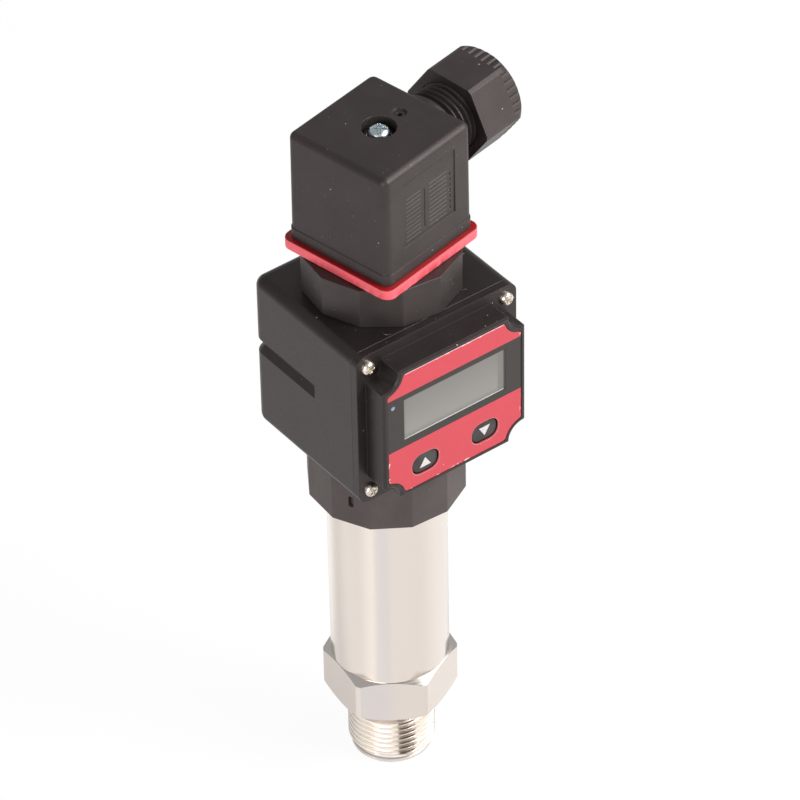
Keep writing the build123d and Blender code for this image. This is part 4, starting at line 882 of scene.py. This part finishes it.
class TRANSMITTER_OT_buttons(bpy.types.Operator):
    """Make the two push buttons and their printed arrows"""
    bl_idname = "transmitter.buttons"
    bl_label = "Push buttons"

    ROUNDING = 0.18 * MM
    FLANGE_WIDTH, FLANGE_THICKNESS = 0.7 * MM, 0.9 * MM
    # The gap between a button and the film, and the width of the film's cut edge
    GAP, RIM = 0.13 * MM, 0.2 * MM

    def execute(self, context):
        look = context.scene.buttons
        rubber = soft_rubber("black_silicone", look.rubber, look.rubber, 0.4)
        white = plain_finish("white_screen_print", look.print_white, 0.6, size=0.5)
        for word in ("up", "down"):
            low, high = corners(f"button_{word}")
            centre = ((low + high) / 2)[[0, 2]]
            mesh = self.cap(look, f"button_cap_{word}", centre, low[1], high[1])
            put(f"button_cap_{word}", mesh, f"{word}_button", "button_rubber", rubber, f"button_{word}")
            dress(white, f"arrow_{word}")
            self.rim(look, word, centre)
        return {"FINISHED"}

    def cap(self, look, name, centre, front, back):
        """Rings shaped like the button's outline. Inside the rim the depth rises as dome x (1 - s^2),
        where s is the ring's share of the outline. Outside it they go down to the flange."""
        outline, normal = rounded_outline(look.width, look.height, look.corner, 6, 8)
        share = np.linspace(0.04, 0.94, 10)
        rings = [(outline * s, front + look.dome * s * s * 0.6) for s in share]
        edge = front + look.dome
        for t in np.linspace(0, pi / 2, 4):
            inset = self.ROUNDING * (1 - np.sin(t))
            rings.append((outline - normal * inset, edge + self.ROUNDING * (1 - np.cos(t))))
        flange = outline + normal * self.FLANGE_WIDTH
        step = back - self.FLANGE_THICKNESS
        rings += [(outline, step), (flange, step), (flange, back)]
        return skin(name, upright(rings, centre), sharp=40)

    def rim(self, look, word, centre):
        """The cut edge of the film round a button: a narrow sloping ring."""
        front = corners("face_label")[0][1]
        inner, outer = (rounded_outline(look.width + 2 * gap, look.height + 2 * gap, look.corner + gap,
                                        6, 8)[0] for gap in (self.GAP, self.GAP + self.RIM))
        mesh = frame_skin(f"button_rim_{word}", outer, inner, centre, front - 0.02 * MM, front + 0.05 * MM)
        put(f"button_rim_{word}", mesh, "display_head", "label_red",
            plain_finish(f"cut_film_{word}", look.rim, 0.45))


class MarkSizes(bpy.types.PropertyGroup):
    radius: length("Radius", "Radius of the crescents that the mould's ejector pins left", 1.15)
    width: length("Width", "Width of a crescent's ridge", 0.24)
    rise: length("Rise", "Height of a crescent's ridge", 0.12)
    line_pitch: length("Line pitch", "Distance between the fine lines in the hood's panel", 1.1)
    line_width: length("Line width", "Width of a fine line", 0.26)
    line_rise: length("Line rise", "Height of a fine line", 0.02)


def crescents(name, centres, across, upward, size):
    """Ridges in part of a circle on flat faces, each a row of small triangular sections.

    Along a ridge the point is centre + radius x (cos t across + sin t upward). The section is as
    wide as the ridge at its foot, and its height fades to nothing at both ends as sin u."""
    share = np.linspace(0, 1, 25)
    t = radians(-60) + share * radians(170)
    fade = np.sin(pi * share) ** 0.5
    meshes = []
    for centre, side, lift in zip(centres, across, upward):
        face = np.cross(side, lift)
        ray = np.cos(t)[:, None] * side + np.sin(t)[:, None] * lift
        inner = centre + ray * (size.radius - size.width / 2 * fade[:, None]) - face * size.rise
        outer = centre + ray * (size.radius + size.width / 2 * fade[:, None]) - face * size.rise
        crest = centre + ray * size.radius + face * size.rise * fade[:, None]
        meshes.append(skin(name, np.stack([inner, crest, outer], axis=1), sharp=60))
    return joined(name, meshes)


def bars(name, low, high):
    """Upright boxes between arrays of low and high corners [bar, xyz]."""
    pick = np.array([[x, y, z] for z in (0, 1) for x, y in ((0, 0), (1, 0), (1, 1), (0, 1))])
    points = np.where(pick[None], high[:, None], low[:, None]).reshape(-1, 3)
    faces = np.array([(3, 2, 1, 0), (4, 5, 6, 7), (0, 1, 5, 4), (1, 2, 6, 5), (2, 3, 7, 6), (3, 0, 4, 7)])
    faces = (faces[None] + 8 * np.arange(len(low))[:, None, None]).reshape(-1, 4)
    mesh = bpy.data.meshes.new(name)
    mesh.from_pydata(points.tolist(), [], faces.tolist())
    return mesh


class TRANSMITTER_OT_mould_marks(bpy.types.Operator):
    """Make the ejector marks on the black pieces and the fine lines in the hood's panel"""
    bl_idname = "transmitter.mould_marks"
    bl_label = "Mould marks"

    BOX_SIDEWAYS, BOX_DEPTH = 10.4 * MM, -15.5 * MM
    # The collar's marks: the azimuth of the flat in degrees, and millimetres sideways from its middle
    COLLAR_MARKS = ((172.4, 0.8), (-67.6, -0.8))
    COLLAR_FLAT, COLLAR_RISE = 17.3 * MM, 5.2 * MM
    # The hood's panel: its depth, the lowest line, the number of lines and each column's ends
    PANEL_FLOOR, PANEL_BASE, LINES = -13.6 * MM, 139.6 * MM, 11
    COLUMNS = ((-7.2, -2.6), (0.2, 5.8))

    def execute(self, context):
        size = context.scene.mould_marks
        look = context.scene.black_pieces
        x, y, z = np.eye(3)
        top = corners("housing_shell")[1][2]
        centres = [side * self.BOX_SIDEWAYS * x + self.BOX_DEPTH * y + top * z for side in (-1, 1)]
        marks = crescents("ejector_marks_box", centres, [-x, x], [-y, y], size)
        # The ridges, and the panel's fine lines, are six times paler than the black round them.
        plastic = moulded_polyamide("ejector_mark_polyamide", scaled(look.black, 6), look.dust, 0.35)
        put("ejector_marks_box", marks, "display_head", "housing_plastic", plastic)
        centres, across = [], []
        for degrees, sideways in self.COLLAR_MARKS:
            angle = radians(degrees)
            out = np.array([cos(angle), sin(angle), 0.0])
            along = np.cross(z, out)
            centres.append(out * self.COLLAR_FLAT + along * sideways * MM + z * (top + self.COLLAR_RISE))
            across.append(along)
        marks = crescents("ejector_marks_collar", centres, across, [z, z], size)
        put("ejector_marks_collar", marks, "display_head", "base_plastic", plastic)
        put("panel_lines", self.lines(context.scene.gasket, size), "display_head", "hood_plastic", plastic)
        return {"FINISHED"}

    def lines(self, gasket, size):
        """Two columns of level bars on the panel's floor, one either side of its upright groove."""
        level = np.tile(self.PANEL_BASE + np.arange(self.LINES) * size.line_pitch, len(self.COLUMNS))
        start, stop = np.repeat(np.array(self.COLUMNS) * MM, self.LINES, axis=0).T
        front, back = (np.full(len(level), self.PANEL_FLOOR + depth) for depth in (-size.line_rise, 0.1 * MM))
        mesh = bars("panel_lines", np.stack([start, front, level], axis=1),
                    np.stack([stop, back, level + size.line_width], axis=1))
        mesh.transform(Matrix.Rotation(gasket.turn, 4, "Z"))
        return mesh


class InnerLook(bpy.types.PropertyGroup):
    board: tint("Board", "Colour of the boards' solder mask", "#1D5A3A")
    brass: tint("Brass", "Colour of the brass pieces", "#C9A35A")
    tin: tint("Tin", "Colour of the plated contacts", "#D3D1CB")
    natural: tint("Natural nylon", "Colour of the uncoloured nylon", "#DAD8CC")
    rubber: tint("Rubber", "Colour of the seals", "#22201F")
    insulation: tint("Insulation", "Colour of the connector's leads", "#A32A25")


class TRANSMITTER_OT_inner_pieces(bpy.types.Operator):
    """Finish the pieces inside the sleeve, the housing and the plug"""
    bl_idname = "transmitter.inner_pieces"
    bl_label = "Inner pieces"

    # Material, its colour or the name of its property, roughness, metallic, size of its spots in
    # millimetres, and the CAD nodes that wear it
    FINISHES = (
        ("ground_stainless", "#C2C0BC", 0.3, 1.0, 1.5, "pressure_capsule capsule_retainer"),
        ("nitrile_rubber", "rubber", 0.55, 0.0, 1.5,
         "capsule_oring sleeve_oring swivel_oring base_oring cover_gasket gland_seal"),
        ("gold_flashed_pins", "#D6B25E", 0.25, 1.0, 1.5, "capsule_pins"),
        ("natural_nylon", "natural", 0.5, 0.0, 1.5,
         "amplifier_carrier lead_bush lcd_frame lead_connector switch_stem_up switch_stem_down"),
        ("solder_mask", "board", 0.35, 0.0, 3.0, "amplifier_board display_board"),
        ("moulded_epoxy", "#2A2929", 0.55, 0.0, 1.5, "amplifier_parts display_chip switch_bodies"),
        ("blue_trimmer_plastic", "#2E5FA8", 0.4, 0.0, 1.5, "trimmers"),
        ("phosphated_spring_steel", "#5E5E62", 0.45, 1.0, 1.5, "swivel_clip stop_pin"),
        ("drawn_aluminium", "#C4C6C8", 0.3, 1.0, 1.5, "display_capacitors"),
        ("blue_zinc", "#C8CFD3", 0.3, 1.0, 1.5, "display_board_screws terminal_screws screw_washer"),
        ("grey_insulation", "#77787A", 0.5, 0.0, 1.5, "signal_leads"),
        ("red_insulation", "insulation", 0.5, 0.0, 1.5, "connector_leads"),
        ("tinned_brass", "tin", 0.25, 1.0, 1.5, "contact_blades terminal_sockets"),
        ("knurled_brass", "brass", 0.35, 1.0, 1.5, "screw_insert"),
        ("black_nylon", "#2E2C2B", 0.5, 0.0, 1.5, "base_lock_nut contact_carrier thrust_ring"),
        ("diffused_epoxy", "#80849A", 0.25, 0.0, 1.5, "status_led"),
    )

    def execute(self, context):
        look = context.scene.inner_pieces
        for name, colour, roughness, metallic, spots, nodes in self.FINISHES:
            colour = linear(colour) if colour.startswith("#") else getattr(look, colour)
            dress(plain_finish(name, colour, roughness, metallic, spots), *nodes.split())
        return {"FINISHED"}


class StageLook(bpy.types.PropertyGroup):
    key: watts("Key light", "Power of the light on the display's side", 16.0)
    fill: watts("Fill light", "Power of the light on the left side", 6.0)
    side: watts("Side light", "Power of the light on the right side", 2.5)
    dark: tint("Dark card", "Colour of the card mirrored by the thread", "#3A322D")
    around: ratio("Surroundings", "Strength of the light from all sides", 0.3)


class TRANSMITTER_OT_stage(bpy.types.Operator):
    """Make the floor, the lights, the surroundings and the camera"""
    bl_idname = "transmitter.stage"
    bl_label = "Stage"

    # Each light's size and place, in metres
    LIGHTS = (
        ("key", 0.55, (0.52, -0.8, 0.72)),
        ("fill", 0.6, (-0.85, -0.45, 0.4)),
        ("side", 0.5, (0.56, -0.15, 0.72)),
    )
    # The dark card's corners [x, y], in millimetres
    CARD = ((-5.4, -11.0), (0.4, -12.2), (9.0, -28.0), (-10.8, -26.5))
    PAPER = (0.9, 0.9, 0.9, 1.0)
    # An azimuth in degrees and the grey that glossy rays see there: painted reflections for the steel
    MIRRORED_GREYS = (
        (-180, "#E6E4E2"), (-164, "#F0EDEA"), (-156, "#F4F0EC"), (-148, "#DBDBDE"), (-128, "#D6D6D9"),
        (-125, "#DEDCDA"), (-66, "#DAD8D6"), (-30, "#E6E4E2"), (110, "#F0EEEC"), (180, "#E6E4E2"),
    )
    # The floor's half width in metres, and its distance under the thread
    FLOOR_HALF = 4.0
    FLOOR_GAP = 0.1 * MM

    def execute(self, context):
        look = context.scene.stage_look
        self.floor()
        self.surroundings(look)
        for name, size, place in self.LIGHTS:
            self.lamp(f"{name}_light", getattr(look, name), size, place)
        self.card(look.dark)
        self.camera(context)
        return {"FINISHED"}

    def sheet(self, name, outline, level):
        """A flat sheet over an outline [x, y] at one level, as part of the stage."""
        mesh = bpy.data.meshes.new(name)
        mesh.from_pydata([(x, y, level) for x, y in outline], [], [range(len(outline))])
        item = link(name, mesh)
        return item

    def floor(self):
        """A wide white floor just under the thread. To the camera it glows a little, so that its
        lit parts go over into the white of the backdrop and the soft shadow stays."""
        half = self.FLOOR_HALF
        square = ((-half, -half), (half, -half), (half, half), (-half, half))
        floor = self.sheet("floor", square, CAD_BOUNDS[0][2] - self.FLOOR_GAP)
        material, tree, shader = blank("white_paper")
        # For glossy rays the floor is greyer in some directions, a painted reflection of darker things round
        # the object, and the steel mirrors it as upright bands. Only glossy rays see them.
        turn = add(tree, "ShaderNodeTexGradient", {"Vector": object_place(tree)}, gradient_type="RADIAL")
        mirrored_greys = add(tree, "ShaderNodeValToRGB", {"Fac": turn.outputs["Fac"]})
        for azimuth, _ in self.MIRRORED_GREYS[1:-1]:
            mirrored_greys.color_ramp.elements.new((azimuth + 180) / 360)
        for stop, (azimuth, grey) in zip(mirrored_greys.color_ramp.elements, self.MIRRORED_GREYS):
            stop.position = (azimuth + 180) / 360
            stop.color = linear(grey)
        path = add(tree, "ShaderNodeLightPath").outputs
        seen, gloss = path["Is Camera Ray"], path["Is Glossy Ray"]
        grey = mirrored_greys.outputs["Color"]
        settle(tree, shader, Base_Color=blend_colours(tree, gloss, self.PAPER, grey), Roughness=0.9,
               Specular_IOR_Level=0.0)
        # Glossy rays see the floor glow at 1.3 over a 0.4 share: painted light that lightens the shadow which
        # the steel and the black faces mirror.
        white = blend_colours(tree, gloss, (1.0, 1.0, 1.0, 1.0), grey)
        lit = calculate(tree, "ADD", seen, times(tree, gloss, 1.3))
        glow = add(tree, "ShaderNodeEmission", {"Color": white, "Strength": lit}).outputs["Emission"]
        share = larger(tree, times(tree, seen, 0.93), times(tree, gloss, 0.4))
        mixed = add(tree, "ShaderNodeMixShader", {0: share, 1: shader.outputs["BSDF"], 2: glow})
        feed(tree, tree.nodes["Material Output"], {"Surface": mixed.outputs["Shader"]})
        coat(floor.data, material)

    def surroundings(self, look):
        """White where the camera, a gloss or a glass looks, and a weaker white for the rest."""
        world = bpy.data.worlds.new("white_studio")
        bpy.context.scene.world = world
        world.use_nodes = True
        tree = world.node_tree
        tree.nodes.clear()
        path = add(tree, "ShaderNodeLightPath").outputs
        direct = larger(tree, path["Is Camera Ray"], path["Is Transmission Ray"])
        gloss = times(tree, path["Is Glossy Ray"], 0.45)
        level = larger(tree, larger(tree, direct, gloss), look.around)
        back = add(tree, "ShaderNodeBackground", {"Color": (1, 1, 1, 1), "Strength": level})
        add(tree, "ShaderNodeOutputWorld", {"Surface": back.outputs["Background"]})

    def card(self, colour):
        """A card on the floor by the thread. Only glossy surfaces see it, and the thread mirrors it
        as a dark strip."""
        outline = [(x * MM, y * MM) for x, y in self.CARD]
        card = self.sheet("dark_card", outline, CAD_BOUNDS[0][2])
        for kind in ("camera", "diffuse", "transmission", "shadow", "volume_scatter"):
            setattr(card, f"visible_{kind}", False)
        coat(card.data, plain_finish("dark_card", colour, 0.9))

    def lamp(self, name, power, size, place):
        """A square soft light that points at the middle of the object."""
        data = bpy.data.lights.new(name, "AREA")
        data.energy = power
        data.size = size
        lamp = link(name, data)
        lamp.location = place
        aim = Vector((0, 0, AIM_HEIGHT * MM)) - lamp.location
        lamp.rotation_euler = aim.to_track_quat("-Z", "Y").to_euler()

    def camera(self, context):
        """The photograph's camera, from its azimuth, elevation, roll, distance and aim."""
        azimuth, elevation, roll = radians(CAMERA_AZIMUTH), radians(CAMERA_ELEVATION), radians(CAMERA_ROLL)
        back = Vector((sin(azimuth) * cos(elevation), -cos(azimuth) * cos(elevation), sin(elevation)))
        level = Vector((cos(azimuth), sin(azimuth), 0))
        rise = back.cross(level)
        right = level * cos(roll) + rise * sin(roll)
        upward = rise * cos(roll) - level * sin(roll)
        aim = Vector((0, 0, AIM_HEIGHT)) + right * AIM_RIGHT + upward * AIM_UP
        data = bpy.data.cameras.new("camera")
        data.sensor_width = SENSOR_WIDTH
        data.lens = CAMERA_LENS
        data.clip_start, data.clip_end = CLIPPING
        camera = link("camera", data)
        turn = Matrix((right, upward, back)).transposed().to_4x4()
        camera.matrix_world = Matrix.Translation((aim + back * CAMERA_DISTANCE) * MM) @ turn
        context.scene.camera = camera
        context.scene.view_settings.view_transform = "Standard"


SIZES = (
    ("process_fitting", ProcessFittingSizes),
    ("sleeve", SleeveSizes),
    ("black_pieces", PlasticLook),
    ("screws", ScrewSizes),
    ("gasket", GasketSizes),
    ("display_look", DisplayLook),
    ("buttons", ButtonLook),
    ("mould_marks", MarkSizes),
    ("inner_pieces", InnerLook),
    ("stage_look", StageLook),
)

OPERATORS = (
    TRANSMITTER_OT_process_fitting,
    TRANSMITTER_OT_sleeve,
    TRANSMITTER_OT_black_pieces,
    TRANSMITTER_OT_screws,
    TRANSMITTER_OT_gasket,
    TRANSMITTER_OT_display,
    TRANSMITTER_OT_buttons,
    TRANSMITTER_OT_mould_marks,
    TRANSMITTER_OT_inner_pieces,
    TRANSMITTER_OT_stage,
)


class TRANSMITTER_PT_pieces(bpy.types.Panel):
    """The transmitter's pieces, with their sizes and colours"""
    bl_idname = "TRANSMITTER_PT_pieces"
    bl_label = "Pressure transmitter"
    bl_space_type = "VIEW_3D"
    bl_region_type = "UI"
    bl_category = "Transmitter"

    def draw(self, context):
        for (name, group), operator in zip(SIZES, OPERATORS):
            box = self.layout.box()
            box.operator(operator.bl_idname)
            for prop in group.__annotations__:
                box.prop(getattr(context.scene, name), prop)


def register():
    for name, group in SIZES:
        bpy.utils.register_class(group)
        setattr(bpy.types.Scene, name, PointerProperty(type=group))
    for operator in OPERATORS:
        bpy.utils.register_class(operator)
    bpy.utils.register_class(TRANSMITTER_PT_pieces)


def unregister():
    bpy.utils.unregister_class(TRANSMITTER_PT_pieces)
    for operator in reversed(OPERATORS):
        bpy.utils.unregister_class(operator)
    for name, group in reversed(SIZES):
        delattr(bpy.types.Scene, name)
        bpy.utils.unregister_class(group)


def main():
    register()
    for operator in OPERATORS:
        kind, action = operator.bl_idname.split(".")
        getattr(getattr(bpy.ops, kind), action)()


if __name__ == "__main__":
    main()
